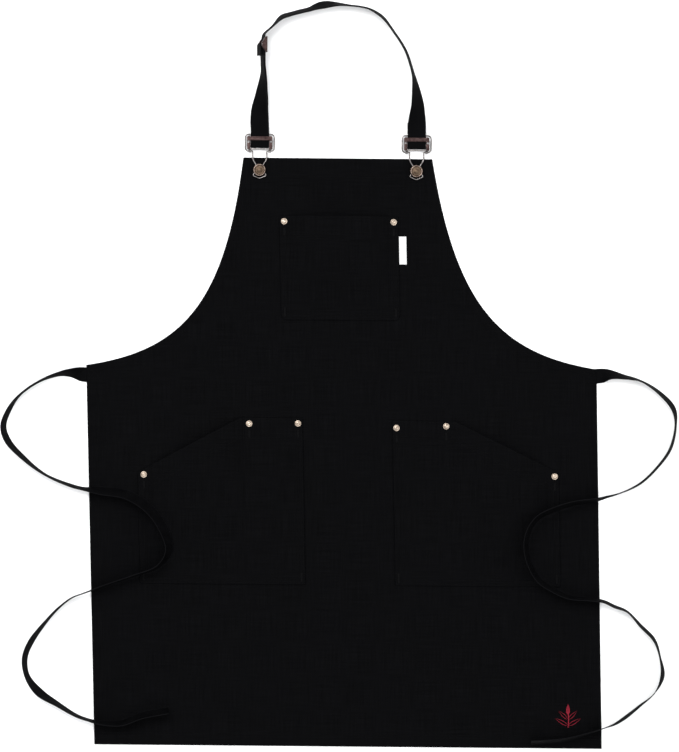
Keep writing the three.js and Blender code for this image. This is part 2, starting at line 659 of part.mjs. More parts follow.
function addNeckStrap() {
  const main = stationsAlong(NECK_ROUTE, STRAP_WIDTH, STRAP_THICK, STRAP_STEPS);
  const half = main.length / 2;
  const shifted = (station, direction) => ({
    place: station.place.clone().addScaledVector(station.face, direction * pitchAt(station.place.y)),
    side: station.side,
  });
  const doubled = main.filter(({ place }, index) => index < half && place.y < RETURN_END);
  const turnback = main.filter(({ place }, index) => index > half && place.y < TURNBACK_END);
  const stations = [
    ...doubled.map((station) => shifted(station, 1)).reverse(),
    ...hairpin(rollBarPlace(-1), main[0].side, BUCKLE_PITCH / 2),
    ...main,
    ...hairpin(rollBarPlace(1), main[main.length - 1].side, BUCKLE_PITCH / 2),
    ...turnback.map((station) => shifted(station, -1)).reverse(),
  ];
  add(model, 'neck_strap', band(stations, STRAP_WIDTH, STRAP_THICK), webbing);
}

function adjusterFrame() {
  const { length, rail, inside, bar, barZ, under, over } = ADJUSTER;
  const outside = inside + rail;
  const end = length / 2;
  const centreBar = new THREE.CylinderGeometry(bar, bar, 2 * inside + 2, 10);
  return joined([
    box([-outside, -end, under], [-inside, end, barZ + bar]),
    box([inside, -end, under], [outside, end, barZ + bar]),
    box([-inside - 1, -end, under], [inside + 1, -end + rail, over]),
    box([-inside - 1, end - rail, under], [inside + 1, end, over]),
    centreBar.rotateZ(Math.PI / 2).translate(0, 0, barZ),
  ]);
}

// The strap's sewn end, folded round the centre bar with both tails towards the buckle
function adjusterFold() {
  const side = new THREE.Vector3(-1, 0, 0);
  const radius = FOLD_PITCH / 2;
  const stations = [{ place: new THREE.Vector3(0, -FOLD_TAIL, ADJUSTER.barZ - radius), side }];
  for (let step = 0; step <= HAIRPIN_STEPS; step += 1) {
    const angle = (Math.PI * step) / HAIRPIN_STEPS;
    const y = radius * Math.sin(angle);
    const z = ADJUSTER.barZ - radius * Math.cos(angle);
    stations.push({ place: new THREE.Vector3(0, y, z), side });
  }
  stations.push({ place: new THREE.Vector3(0, -FOLD_TAIL, ADJUSTER.barZ + radius), side });
  return band(stations, STRAP_WIDTH - 0.6, STRAP_THICK);
}

function addAdjuster() {
  const tilt = THREE.MathUtils.degToRad(STRAP_TILT);
  const slider = new THREE.Group();
  const height = STRAP_LIFT + (STRAP_WIDTH * Math.sin(tilt) + STRAP_THICK * Math.cos(tilt)) / 2;
  slider.position.set(ADJUSTER.x, ADJUSTER.y, height);
  slider.rotation.y = -tilt;
  add(slider, 'strap_adjuster', adjusterFrame(), brownMetal);
  add(slider, 'strap_end_fold', adjusterFold(), webbing);
  model.add(slider);
}

// ---------------------------------------------------------------- waist ties

function addTie(name, route) {
  const stations = stationsAlong(route, TIE_WIDTH, TIE_THICK, TIE_STEPS);
  add(model, name, band(stations, TIE_WIDTH, TIE_THICK), tape);
}

addPanel();
addHems();
POCKETS.forEach(addPocket);
POCKETS.forEach(addRivets);
addLabel();
addMotif();
addButtonAndBuckle('left', -1);
addButtonAndBuckle('right', 1);
addNeckStrap();
addAdjuster();
addTie('left_waist_tie', LEFT_TIE_ROUTE);
addTie('right_waist_tie', RIGHT_TIE_ROUTE);

export default model;
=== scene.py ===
"""A black canvas bib apron laid flat on a pale table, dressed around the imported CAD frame.

Lengths are in metres in the frame's own axes: +Z up from the table, +Y from the bottom hem to the neck.
Cloth is placed on its pattern, u across from the middle and v up from the bottom hem.
"""

import math

import bmesh
import bpy
import numpy as np
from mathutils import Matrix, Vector


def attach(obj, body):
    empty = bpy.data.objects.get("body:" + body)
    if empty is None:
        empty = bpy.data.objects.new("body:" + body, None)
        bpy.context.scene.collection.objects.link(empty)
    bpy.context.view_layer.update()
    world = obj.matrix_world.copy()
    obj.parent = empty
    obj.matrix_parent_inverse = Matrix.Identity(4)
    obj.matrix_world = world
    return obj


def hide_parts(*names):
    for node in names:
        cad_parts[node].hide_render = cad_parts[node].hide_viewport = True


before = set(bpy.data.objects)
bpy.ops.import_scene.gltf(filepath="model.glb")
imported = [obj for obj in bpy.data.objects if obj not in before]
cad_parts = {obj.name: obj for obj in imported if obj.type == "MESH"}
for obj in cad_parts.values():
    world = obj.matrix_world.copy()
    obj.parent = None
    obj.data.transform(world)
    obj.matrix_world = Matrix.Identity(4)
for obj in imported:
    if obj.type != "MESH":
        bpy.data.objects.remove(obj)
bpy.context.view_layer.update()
random = np.random.default_rng(7)

# ---------------------------------------------------------------- driving dimensions

MM = 0.001
HANDS = (-1, 1)
CENTRE = np.array([0.0015, 0.105])
LENGTH = 0.8
WAIST = 0.516
HALF_WAIST = 0.347
HALF_BOTTOM = 0.345
HALF_BIB = 0.1285
ARMHOLE_PULLS = ((0.0285, -0.202), (-0.129, 0.020))
LEAN = 0.01735
DROP = 0.009
CANVAS = 0.75 * MM
PANEL_TOP = 2.35 * MM
HEM_TOP = 1.5 * MM
BOTTOM_HEM = 0.019
SIDE_HEM = 0.015
BINDING = 0.010
TOP_FACING = 0.028

BIB_POCKET = dict(
    name="bib_pocket", start=-0.081, side=1, width=0.162, height=0.142, top=0.7217, hem=0.031,
    corner=0.008, flat=0.162, slant=0.0, opening=(0.012, 0.150), gape=9.5 * MM, fill=0.75,
    rivets=((0.0065, 0.008), (0.1555, 0.008)),
)
HAND_POCKET = dict(
    width=0.226, hem=0.030, corner=0.003, flat=0.085, opening=(0.080, 0.211), gape=10 * MM, fill=0.7,
)
LEFT_HAND_POCKET = dict(
    HAND_POCKET, name="left_hand_pocket", start=-0.0536, side=-1, height=0.2271, top=0.4465, slant=0.0752,
    rivets=((0.0068, 0.0075), (0.0732, 0.0084), (0.2177, 0.008)),
)
RIGHT_HAND_POCKET = dict(
    HAND_POCKET, name="right_hand_pocket", start=0.0675, side=1, height=0.2246, top=0.444, slant=0.069,
    rivets=((0.006, 0.010), (0.0736, 0.0071), (0.220, 0.0082)),
)
POCKETS = (BIB_POCKET, LEFT_HAND_POCKET, RIGHT_HAND_POCKET)
BUTTON_U = 0.1066
BUTTON_V = 0.783

STRAP_WIDTH = 0.025
STRAP_THICK = 1.2 * MM
TIE_WIDTH = 0.020
TIE_THICK = 1.0 * MM

# Routes as (x, y, height of the lower edge, tilt in degrees), the frame's own, before CENTRE is taken off
NECK_ROUTE = (
    (-0.1129, 0.4165, 0.0025, 0), (-0.1127, 0.436, 0.0025, 0), (-0.113, 0.45, 0.0022, 8),
    (-0.1125, 0.466, 0.0018, 24), (-0.1105, 0.4796, 0.0015, 42), (-0.109, 0.4932, 0.0017, 57),
    (-0.1075, 0.5068, 0.0026, 68), (-0.107, 0.518, 0.0036, 78), (-0.1075, 0.527, 0.0039, 78),
    (-0.1075, 0.546, 0.0039, 78), (-0.1075, 0.566, 0.0039, 78), (-0.1056, 0.5696, 0.0038, 81),
    (-0.1013, 0.5734, 0.0034, 81), (-0.096, 0.578, 0.0028, 81), (-0.0912, 0.583, 0.0022, 80),
    (-0.087, 0.5876, 0.0017, 74), (-0.082, 0.5916, 0.0013, 69), (-0.072, 0.5948, 0.0008, 73),
    (-0.0584, 0.5985, 0.0005, 72), (-0.0448, 0.6018, 0.0003, 73), (-0.038, 0.6046, 0.0003, 67),
    (-0.0312, 0.6068, 0.0003, 61), (-0.0244, 0.608, 0.0003, 61), (-0.0176, 0.6086, 0.0003, 65),
    (-0.0039, 0.6084, 0.0003, 77), (0.0097, 0.6069, 0.0003, 81), (0.0233, 0.6054, 0.0003, 81),
    (0.0369, 0.602, 0.0003, 81), (0.0505, 0.5939, 0.0003, 77), (0.0573, 0.5875, 0.0003, 79),
    (0.0641, 0.5785, 0.0003, 81), (0.0722, 0.5669, 0.0003, 81), (0.0779, 0.5586, 0.0003, 81),
    (0.0845, 0.5472, 0.0003, 81), (0.0888, 0.5367, 0.0003, 81), (0.0922, 0.5258, 0.0003, 81),
    (0.0951, 0.5155, 0.0003, 81), (0.0973, 0.5064, 0.0004, 76), (0.0994, 0.4932, 0.0008, 64),
    (0.101, 0.4796, 0.0016, 52), (0.1016, 0.47, 0.0025, 44), (0.1011, 0.4592, 0.0039, 32),
    (0.1006, 0.447, 0.0057, 12), (0.1004, 0.437, 0.0064, 0), (0.1003, 0.4145, 0.0064, 0),
)
LEFT_TIE_ROUTE = (
    (-0.327, 0.105, 0.0002, 0), (-0.352, 0.106, 0.0002, 0), (-0.366, 0.108, 0.0002, 50),
    (-0.384, 0.107, 0.0002, 74), (-0.412, 0.097, 0.0002, 85), (-0.439, 0.078, 0.0002, 86),
    (-0.453, 0.059, 0.0002, 76), (-0.461, 0.036, 0.0002, 72), (-0.455, 0.016, 0.0002, 69),
    (-0.434, -0.007, 0.0002, 76), (-0.404, -0.030, 0.0002, 86), (-0.368, -0.045, 0.0002, 80),
    (-0.352, -0.049, 0.0027, 80), (-0.328, -0.052, 0.003, 60), (-0.294, -0.057, 0.005, 53),
    (-0.263, -0.076, 0.0095, 53), (-0.243, -0.104, 0.0105, 54), (-0.236, -0.133, 0.009, 64),
    (-0.250, -0.154, 0.0055, 78), (-0.285, -0.168, 0.0036, 81), (-0.325, -0.181, 0.0029, 84),
    (-0.352, -0.191, 0.0027, 85), (-0.368, -0.197, 0.0002, 86), (-0.385, -0.210, 0.0002, 84),
    (-0.401, -0.227, 0.0002, 81), (-0.423, -0.256, 0.0002, 70), (-0.432, -0.279, 0.0002, 73),
    (-0.429, -0.303, 0.0002, 77), (-0.413, -0.325, 0.0002, 61), (-0.387, -0.342, 0.0002, 77),
    (-0.362, -0.357, 0.0002, 84), (-0.345, -0.363, 0.0027, 85), (-0.328, -0.367, 0.0028, 81),
    (-0.300, -0.367, 0.0028, 73), (-0.273, -0.357, 0.0028, 69), (-0.237, -0.350, 0.0028, 69),
)
RIGHT_TIE_ROUTE = (
    (0.322, 0.103, 0.0002, 0), (0.349, 0.104, 0.0002, 0), (0.362, 0.106, 0.0002, 50),
    (0.381, 0.103, 0.0002, 72), (0.405, 0.097, 0.0002, 84), (0.431, 0.080, 0.0002, 73),
    (0.449, 0.059, 0.0002, 67), (0.452, 0.038, 0.0002, 79), (0.446, 0.008, 0.0002, 75),
    (0.433, -0.013, 0.0002, 77), (0.405, -0.041, 0.0002, 79), (0.377, -0.055, 0.0002, 85),
    (0.358, -0.0605, 0.0027, 79), (0.341, -0.065, 0.0028, 73), (0.314, -0.069, 0.0045, 71),
    (0.290, -0.076, 0.0075, 69), (0.264, -0.089, 0.0105, 69), (0.250, -0.112, 0.0105, 69),
    (0.250, -0.140, 0.009, 69), (0.265, -0.172, 0.0055, 69), (0.283, -0.185, 0.004, 71),
    (0.306, -0.196, 0.0029, 77), (0.333, -0.199, 0.0028, 81), (0.354, -0.202, 0.0027, 81),
    (0.369, -0.209, 0.0002, 80), (0.386, -0.216, 0.0002, 85), (0.404, -0.235, 0.0002, 78),
    (0.423, -0.255, 0.0002, 77), (0.431, -0.279, 0.0002, 82), (0.434, -0.304, 0.0002, 68),
    (0.423, -0.327, 0.0002, 84), (0.403, -0.344, 0.0002, 75), (0.383, -0.360, 0.0002, 71),
    (0.369, -0.369, 0.0002, 76), (0.355, -0.374, 0.0027, 83), (0.338, -0.380, 0.0027, 79),
    (0.302, -0.390, 0.0027, 71), (0.255, -0.394, 0.0027, 69),
)

# ---------------------------------------------------------------- camera

LENS = 180.0
SENSOR = 36.0
VIEW_HEIGHT = 1.0231
VIEW_MIDDLE = (-0.0061, -0.0010)


def add_camera():
    data = bpy.data.cameras.new("camera")
    data.lens = LENS
    data.sensor_width = SENSOR
    data.clip_end = 50.0
    camera = bpy.data.objects.new("camera", data)
    bpy.context.scene.collection.objects.link(camera)
    camera.location = (*VIEW_MIDDLE, VIEW_HEIGHT * LENS / SENSOR)
    bpy.context.scene.camera = camera


add_camera()


# ---------------------------------------------------------------- materials

TWO_PI = 2 * math.pi
BANDS_PER_TURN = 20.0
THREAD_PITCH = 0.62 * MM
# Where a strap's paler edge band starts, as a share of its half width: a painted edge highlight that also
# stands for edge wear.
WEAR_AND_HIGHLIGHT_FROM = 0.9


class Shader:
    """A material under construction: short names for the nodes that the materials below share."""

    def __init__(self, name):
        self.material = bpy.data.materials.new(name)
        self.material.use_nodes = True
        self.tree = self.material.node_tree
        self.surface = self.tree.nodes["Principled BSDF"]

    def feed(self, socket, value):
        """Links another node's output to a socket, or sets the socket to a constant."""
        if isinstance(value, bpy.types.NodeSocket):
            self.tree.links.new(value, socket)
        elif value is not None:
            socket.default_value = value

    def node(self, kind, output, inputs, **settings):
        made = self.tree.nodes.new(kind)
        for key, value in settings.items():
            setattr(made, key, value)
        for key, value in inputs.items():
            self.feed(made.inputs[key], value)
        return made.outputs[output]

    def position(self, scale=(1, 1, 1), uv=False, turn=0.0):
        source = self.node("ShaderNodeTexCoord", "UV" if uv else "Object", {})
        inputs = {"Vector": source, "Scale": scale, "Rotation": (0, 0, turn)}
        return self.node("ShaderNodeMapping", "Vector", inputs)

    def noise(self, vector, scale, detail=3.0, roughness=0.55):
        inputs = {"Vector": vector, "Scale": scale, "Detail": detail, "Roughness": roughness}
        return self.node("ShaderNodeTexNoise", "Fac", inputs)

    def wave(self, vector, pitch, direction, distortion):
        """Bands one pitch apart, in metres."""
        scale = TWO_PI / (BANDS_PER_TURN * pitch)
        inputs = {"Vector": vector, "Scale": scale, "Distortion": distortion, "Detail": 1.0}
        return self.node("ShaderNodeTexWave", "Fac", inputs, wave_type="BANDS", bands_direction=direction)

    def math(self, operation, *values):
        return self.node("ShaderNodeMath", 0, dict(enumerate(values)), operation=operation)

    def sum(self, *parts):
        """The sum of values by their weights, from (value, weight) pairs."""
        total = 0.0
        for value, weight in parts:
            total = self.math("MULTIPLY_ADD", value, weight, total)
        return total

    def spread(self, value, low, high):
        """Stretches a noise's middle range to run from low to high."""
        inputs = {"Value": value, "From Min": 0.3, "From Max": 0.7, "To Min": low, "To Max": high}
        return self.node("ShaderNodeMapRange", "Result", inputs)

    def ramp(self, value, dark, light, low=0.3, high=0.7):
        color = self.node("ShaderNodeValToRGB", "Color", {"Fac": value})
        for stop, place, shade in zip(color.node.color_ramp.elements, (low, high), (dark, light)):
            stop.position, stop.color = place, (*shade, 1)
        return color

    def bump(self, height, distance, strength, normal=None):
        inputs = {"Strength": strength, "Distance": distance, "Height": height, "Normal": normal}
        return self.node("ShaderNodeBump", "Normal", inputs)

    def finish(self, color, roughness, normal, **values):
        """Feeds the surface. values are its other sockets by name, with _ for each space."""
        self.feed(self.surface.inputs["Base Color"], color)
        self.feed(self.surface.inputs["Roughness"], roughness)
        self.feed(self.surface.inputs["Normal"], normal)
        for key, value in values.items():
            self.feed(self.surface.inputs[key.replace("_", " ")], value)
        return self.material


def canvas_material():
    """Plain-woven cotton duck: crossing warp and weft, slubs, and a slightly dusty, uneven black."""
    shader = Shader("canvas")
    place = shader.position()
    weave = shader.math("MULTIPLY", *(shader.wave(place, THREAD_PITCH, way, 0.4) for way in "XY"))
    slub_stretches = ((900, 22, 1), (22, 900, 1))
    slubs = shader.math("MULTIPLY", *(shader.noise(shader.position(s), 1.0, 2.0) for s in slub_stretches))
    patches = shader.noise(place, 9.0, 4.0)
    fuzz = shader.noise(place, 1400.0, 2.0)
    tone = shader.sum((patches, 0.40), (slubs, 1.0), (fuzz, 0.25), (weave, 0.45))
    color = shader.ramp(tone, (0.0003, 0.0003, 0.0004), (0.0023, 0.0023, 0.0027), 0.45, 1.0)
    creases = shader.bump(shader.noise(shader.position((1, 0.6, 1)), 26.0), 1.2 * MM, 0.5)
    normal = shader.bump(shader.sum((weave, 1.0), (slubs, 1.5)), 0.10 * MM, 0.7, creases)
    return shader.finish(
        color, shader.spread(patches, 0.72, 0.9), normal, Specular_IOR_Level=0.022,
        Sheen_Weight=0.008, Sheen_Roughness=0.4, Sheen_Tint=(0.6, 0.63, 0.75, 1),
    )


def strap_material(name, width, rib_pitch, dark, light, slant):
    """Woven tape seen along its UVs, in metres: ribs straight across it or slanting, and paler edges, a
    painted highlight along its lit edge that also stands for edge wear.
    """
    shader = Shader(name)
    along = shader.position(uv=True)
    ribs = shader.wave(shader.position(uv=True, turn=slant), rib_pitch, "X", 0.3 if slant else 0.5)
    yarns = shader.wave(along, rib_pitch * 0.75, "Y", 0.3)
    weave = shader.sum((ribs, 1.0), (yarns, 0.6))
    patches = shader.noise(along, 60.0)
    fuzz = shader.noise(along, 2500.0, 2.0)
    across = shader.math("ABSOLUTE", shader.node("ShaderNodeSeparateXYZ", "Y", {0: along}))
    # Paler towards both edges: a painted highlight of the strap's lit edge, also standing for edge wear.
    past_edge = shader.math("MULTIPLY_ADD", across, 2 / width, -WEAR_AND_HIGHLIGHT_FROM)
    edge_wear_and_highlight = shader.math("MAXIMUM", shader.math("MULTIPLY", past_edge, 5.0), 0.0)
    body = shader.sum((weave, 0.35), (patches, 0.5), (fuzz, 0.2))
    color = shader.ramp(shader.sum((body, 0.55), (edge_wear_and_highlight, 1.0)), dark, light, 0.15, 0.9)
    normal = shader.bump(shader.sum((weave, 1.0), (fuzz, 0.4)), 0.16 * MM, 0.9)
    return shader.finish(
        color, shader.spread(patches, 0.6, 0.8), normal, Specular_IOR_Level=0.012,
        Sheen_Weight=0.002, Sheen_Roughness=0.35, Sheen_Tint=(0.7, 0.72, 0.8, 1),
    )


def thread_material(name, dark, light, specular, sheen):
    """Twisted sewing thread."""
    shader = Shader(name)
    twist = shader.noise(shader.position(), 1800.0, 2.0)
    return shader.finish(
        shader.ramp(twist, dark, light), shader.spread(twist, 0.42, 0.65), shader.bump(twist, 0.08 * MM, 0.8),
        Specular_IOR_Level=specular, Sheen_Weight=sheen, Sheen_Roughness=0.4,
    )


def label_material():
    """White woven satin with a fine edge-to-edge rib."""
    shader = Shader("label_satin")
    place = shader.position()
    rib = shader.wave(place, 0.4 * MM, "Y", 0.3)
    soft = shader.noise(place, 300.0)
    return shader.finish(
        shader.ramp(soft, (0.42, 0.42, 0.415), (0.52, 0.52, 0.515)), shader.spread(soft, 0.42, 0.6),
        shader.bump(rib, 0.05 * MM, 0.8), Specular_IOR_Level=0.4, Sheen_Weight=0.1,
    )


def metal_material(name, dark, light, smooth, rough):
    """Plated metal: patina in patches, fine scratches, and roughness that follows both."""
    shader = Shader(name)
    patina = shader.noise(shader.position(), 220.0, 5.0, 0.65)
    scratches = shader.noise(shader.position((1, 9, 1)), 900.0)
    roughness = shader.spread(shader.sum((patina, 0.5), (scratches, 0.5)), smooth, rough)
    color = shader.ramp(patina, dark, light, 0.35, 0.65)
    normal = shader.bump(scratches, 0.03 * MM, 0.6)
    return shader.finish(color, roughness, normal, Metallic=1.0, Specular_IOR_Level=0.5)


CANVAS_MAT = canvas_material()
WEBBING_MAT = strap_material(
    "webbing", STRAP_WIDTH, 1.3 * MM, (0.0005, 0.0005, 0.0006), (0.0050, 0.0050, 0.0056), 0.0,
)
TAPE_MAT = strap_material(
    "tie_tape", TIE_WIDTH, 1.0 * MM, (0.0003, 0.0003, 0.0004), (0.0050, 0.0050, 0.0056), math.radians(35),
)
BLACK_THREAD = thread_material(
    "black_thread", (0.0010, 0.0010, 0.0012), (0.0030, 0.0030, 0.0034), 0.03, 0.006,
)
RED_THREAD = thread_material("red_thread", (0.07, 0.003, 0.009), (0.24, 0.009, 0.022), 0.12, 0.02)
LABEL_MAT = label_material()
BRASS = metal_material("aged_brass", (0.15, 0.115, 0.09), (0.42, 0.35, 0.28), 0.2, 0.42)
BROWN = metal_material("brown_metal", (0.016, 0.009, 0.009), (0.052, 0.034, 0.032), 0.24, 0.45)
RING = metal_material("button_copper", (0.070, 0.046, 0.036), (0.22, 0.165, 0.135), 0.16, 0.34)
FACE_BROWN = metal_material("button_brown", (0.034, 0.022, 0.015), (0.080, 0.056, 0.038), 0.3, 0.5)
STEEL = metal_material("steel_wire", (0.07, 0.062, 0.06), (0.22, 0.205, 0.20), 0.12, 0.3)

# ---------------------------------------------------------------- mesh helpers


def signed_volume(mesh):
    """A closed mesh's volume, which is negative where its faces look inwards."""
    centres, normals, areas = (np.empty(len(mesh.polygons) * size) for size in (3, 3, 1))
    mesh.polygons.foreach_get("center", centres)
    mesh.polygons.foreach_get("normal", normals)
    mesh.polygons.foreach_get("area", areas)
    return float(((centres * normals).reshape(-1, 3).sum(axis=1) * areas).sum() / 3)


def add_mesh(name, points, faces, material, uvs=None, smooth=True):
    """A mesh object whose faces look outwards, with UVs given by vertex."""
    mesh = bpy.data.meshes.new(name)
    mesh.from_pydata(np.asarray(points).tolist(), [], faces)
    if signed_volume(mesh) < 0:
        mesh.flip_normals()
    mesh.materials.append(material)
    if smooth:
        mesh.shade_smooth()
    if uvs is not None:
        layer = mesh.uv_layers.new(name="UVMap")
        corners = np.empty(len(mesh.loops), dtype=np.int32)
        mesh.loops.foreach_get("vertex_index", corners)
        layer.data.foreach_set("uv", np.asarray(uvs)[corners].ravel())
    made = bpy.data.objects.new(name, mesh)
    bpy.context.scene.collection.objects.link(made)
    return made


def place_piece(piece, body, nodes=()):
    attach(piece, body)
    if nodes:
        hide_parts(*nodes)
    return piece


def lay(u, v):
    """Where pattern point (u, v) lies on the table."""
    rise = np.asarray(v) - LENGTH / 2
    return np.asarray(u) - LEAN * rise - CENTRE[0], rise - DROP * np.asarray(u) - CENTRE[1]


def smoothstep(value, low, high):
    share = np.clip((value - low) / (high - low), 0, 1)
    return share * share * (3 - 2 * share)


def arc(centre_x, centre_y, radius, start, end, steps=6):
    """Points round part of a circle, between two angles in degrees."""
    angles = np.radians(np.linspace(start, end, steps))
    return [(centre_x + radius * math.cos(a), centre_y + radius * math.sin(a)) for a in angles]


def circle_section(radius, sides, flat=1.0):
    """A bar's round section, or an oval one whose height is flat times its width."""
    angles = np.arange(sides) * TWO_PI / sides
    return [(radius * math.cos(a), radius * flat * math.sin(a)) for a in angles]


def rim_of(grid):
    """A grid's outline, once round anticlockwise from its first corner, as flat indices."""
    rows, columns = grid.shape[:2]
    index = np.arange(rows * columns).reshape(rows, columns)
    return np.concatenate([index[0, :-1], index[:-1, -1], index[-1, :0:-1], index[:0:-1, 0]])


def rounded_rim(thick, degrees=(90, 50, 0, -50, -90)):
    """A sheet's rounded edge, as (inset, drop) from its top to its underside."""
    half = thick / 2
    return [(half * (1 - math.cos(a)), half * (1 - math.sin(a))) for a in np.radians(degrees)]


def slab(name, top, thick, material, rim=None):
    """A sheet of cloth under a grid of points, with its edge shaped by rim's (inset, drop) steps."""
    rim = rim or rounded_rim(thick)
    right, up = top[0, 1] - top[0, 0], top[1, 0] - top[0, 0]
    if right[0] * up[1] < right[1] * up[0]:
        top = top[:, ::-1]
    edge = rim_of(top)
    flat = top.reshape(-1, 3)
    line = flat[edge]
    travel = np.roll(line, -1, axis=0) - np.roll(line, 1, axis=0)
    outward = unit(np.stack([travel[:, 1], -travel[:, 0], np.zeros(len(line))], axis=1))

    def ring(inset, drop):
        return line - outward * inset - (0, 0, drop)

    upper = flat.copy()
    upper[edge] = ring(*rim[0])
    lower = flat - (0, 0, thick)
    lower[edge] = ring(*rim[-1])
    rings = [ring(*step) for step in rim[1:-1]]
    count = len(flat)
    cell = np.arange(count).reshape(top.shape[:2])
    corners = [part.ravel() for part in (cell[:-1, :-1], cell[:-1, 1:], cell[1:, 1:], cell[1:, :-1])]
    faces = np.stack(corners, axis=1).tolist() + (np.stack(corners[::-1], axis=1) + count).tolist()
    own = 2 * count + np.arange(len(edge))
    chains = [edge, *[own + i * len(edge) for i in range(len(rings))], edge + count]
    for first, second in zip(chains[:-1], chains[1:]):
        faces += np.stack([second, np.roll(second, -1), np.roll(first, -1), first], axis=1).tolist()
    return add_mesh(name, np.concatenate([upper, lower, *rings]), faces, material)


def tube_faces(stations, around, closed):
    """Faces of a tube with that many stations and points around; an open one is capped."""
    index = np.arange(stations * around).reshape(stations, around)
    following = np.roll(index, -1, axis=0) if closed else index[1:]
    start = index if closed else index[:-1]
    faces = np.stack(
        [start, np.roll(start, -1, axis=1), np.roll(following, -1, axis=1), following], axis=-1
    ).reshape(-1, 4).tolist()
    if not closed:
        faces.append(index[0, ::-1].tolist())
        faces.append(index[-1].tolist())
    return faces


def add_tubes(name, tubes, stations, around, material):
    """One mesh of many short capped tubes, each given by its points."""
    own = tube_faces(stations, around, False)
    starts = range(0, len(tubes) * stations * around, stations * around)
    faces = [[corner + first for corner in face] for first in starts for face in own]
    return add_mesh(name, np.concatenate(tubes), faces, material)


def turned(name, profile, sides, material, centre):
    """A turned piece from (radius, height) in mm, up its outside: solid from axis to axis, or else a ring."""
    outline = np.array(profile) * MM
    solid = profile[0][0] == 0
    wall = outline[1:-1] if solid else outline
    angles = np.arange(sides) * TWO_PI / sides
    points = np.concatenate([
        np.stack([r * np.cos(angles), r * np.sin(angles), np.full(sides, h)], axis=1) for r, h in wall
    ])
    faces = tube_faces(len(wall), sides, not solid)
    if solid:
        low, high, last = len(points), len(points) + 1, len(points) - sides
        points = np.concatenate([points, [(0, 0, outline[0, 1]), (0, 0, outline[-1, 1])]])
        faces = faces[:-2]
        for side in range(sides):
            after = (side + 1) % sides
            faces += [[low, after, side], [high, last + side, last + after]]
    points[:, :2] += centre
    return add_mesh(name, points, faces, material)


def catmull(points, closed, per_segment):
    """A centripetal Catmull-Rom line through points, and the point index that each sample stands at."""
    points = np.asarray(points, float)
    if closed:
        padded = np.concatenate([points[-1:], points, points[:2]])
    else:
        padded = np.concatenate([2 * points[:1] - points[1:2], points, 2 * points[-1:] - points[-2:-1]])
    steps = np.arange(per_segment) / per_segment
    s = steps[:, None]
    line, at = [], []
    for segment in range(len(padded) - 3):
        before, start, end, after = four = padded[segment:segment + 4]
        gaps = np.maximum(np.linalg.norm(np.diff(four, axis=0), axis=1) ** 0.5, 1e-6)
        leave = (start - before) / gaps[0] - (end - before) / (gaps[0] + gaps[1]) + (end - start) / gaps[1]
        reach = (end - start) / gaps[1] - (after - start) / (gaps[1] + gaps[2]) + (after - end) / gaps[2]
        leave, reach = leave * gaps[1], reach * gaps[1]
        square = 3 * (end - start) - 2 * leave - reach
        cube = 2 * (start - end) + leave + reach
        line.append(start + leave * s + square * s**2 + cube * s**3)
        at.append(segment + steps)
    if not closed:
        line.append(points[-1:])
        at.append(np.array([len(points) - 1.0]))
    return np.concatenate(line), np.concatenate(at)


def travelled(line):
    """The distance along a line to each of its points."""
    return np.concatenate([[0], np.cumsum(np.linalg.norm(np.diff(line, axis=0), axis=1))])


def resampled(line, count):
    """A line at count equally spaced points."""
    lengths = travelled(line)
    wanted = np.linspace(0, lengths[-1], count)
    return np.stack([np.interp(wanted, lengths, column) for column in line.T], axis=1)


def equal_steps(line, step):
    """A line resampled at equal steps of about that length."""
    return resampled(line, max(int(round(travelled(line)[-1] / step)), 2) + 1)


def softened(values, width):
    """A moving average that keeps the ends where they are."""
    if width < 2:
        return values
    padded = np.concatenate([np.full(width, values[0]), values, np.full(width, values[-1])])
    kernel = np.ones(2 * width + 1) / (2 * width + 1)
    return np.convolve(padded, kernel, mode="valid")


def unit(vectors):
    return vectors / (np.linalg.norm(vectors, axis=1)[:, None] + 1e-12)


# ---------------------------------------------------------------- straps and ties


def strap_stations(route, width, thick, step):
    """Centres, across-vectors and face-vectors of a strap lying along a route."""
    route = np.asarray(route, float)
    curve, at = catmull(route[:, :2], False, 24)
    line = equal_steps(curve, step)
    at = np.interp(np.linspace(0, 1, len(line)), travelled(curve) / travelled(curve)[-1], at)
    travel = unit(np.gradient(line, axis=0))
    height = softened(np.interp(at, np.arange(len(route)), route[:, 2]), 2)
    tilt = np.radians(softened(np.interp(at, np.arange(len(route)), route[:, 3]), 2))
    left = np.stack([-travel[:, 1], travel[:, 0], np.zeros(len(line))], axis=1)
    up = np.array([0, 0, 1.0])
    side = left * np.cos(tilt)[:, None] - up * np.sin(tilt)[:, None]
    face = left * np.sin(tilt)[:, None] + up * np.cos(tilt)[:, None]
    centre = np.empty((len(line), 3))
    centre[:, :2] = line - CENTRE
    centre[:, 2] = height + (width * np.sin(tilt) + thick * np.cos(tilt)) / 2
    return centre, side, face


def strap_section(width, thick):
    """The outline of a strap's section as (across, through), rounded at its two edges."""
    half, round_ = width / 2, thick / 2
    flats = np.array([-0.8, -0.4, 0.0, 0.4, 0.8]) * half
    lower = [(a, -round_) for a in flats]
    upper = [(a, round_) for a in flats[::-1]]
    turns = np.radians((-60, -20, 20, 60))
    near = [(half - round_ + round_ * math.cos(t), round_ * math.sin(t)) for t in turns]
    far = [(-a, t) for a, t in near[::-1]]
    return lower + near + upper + far


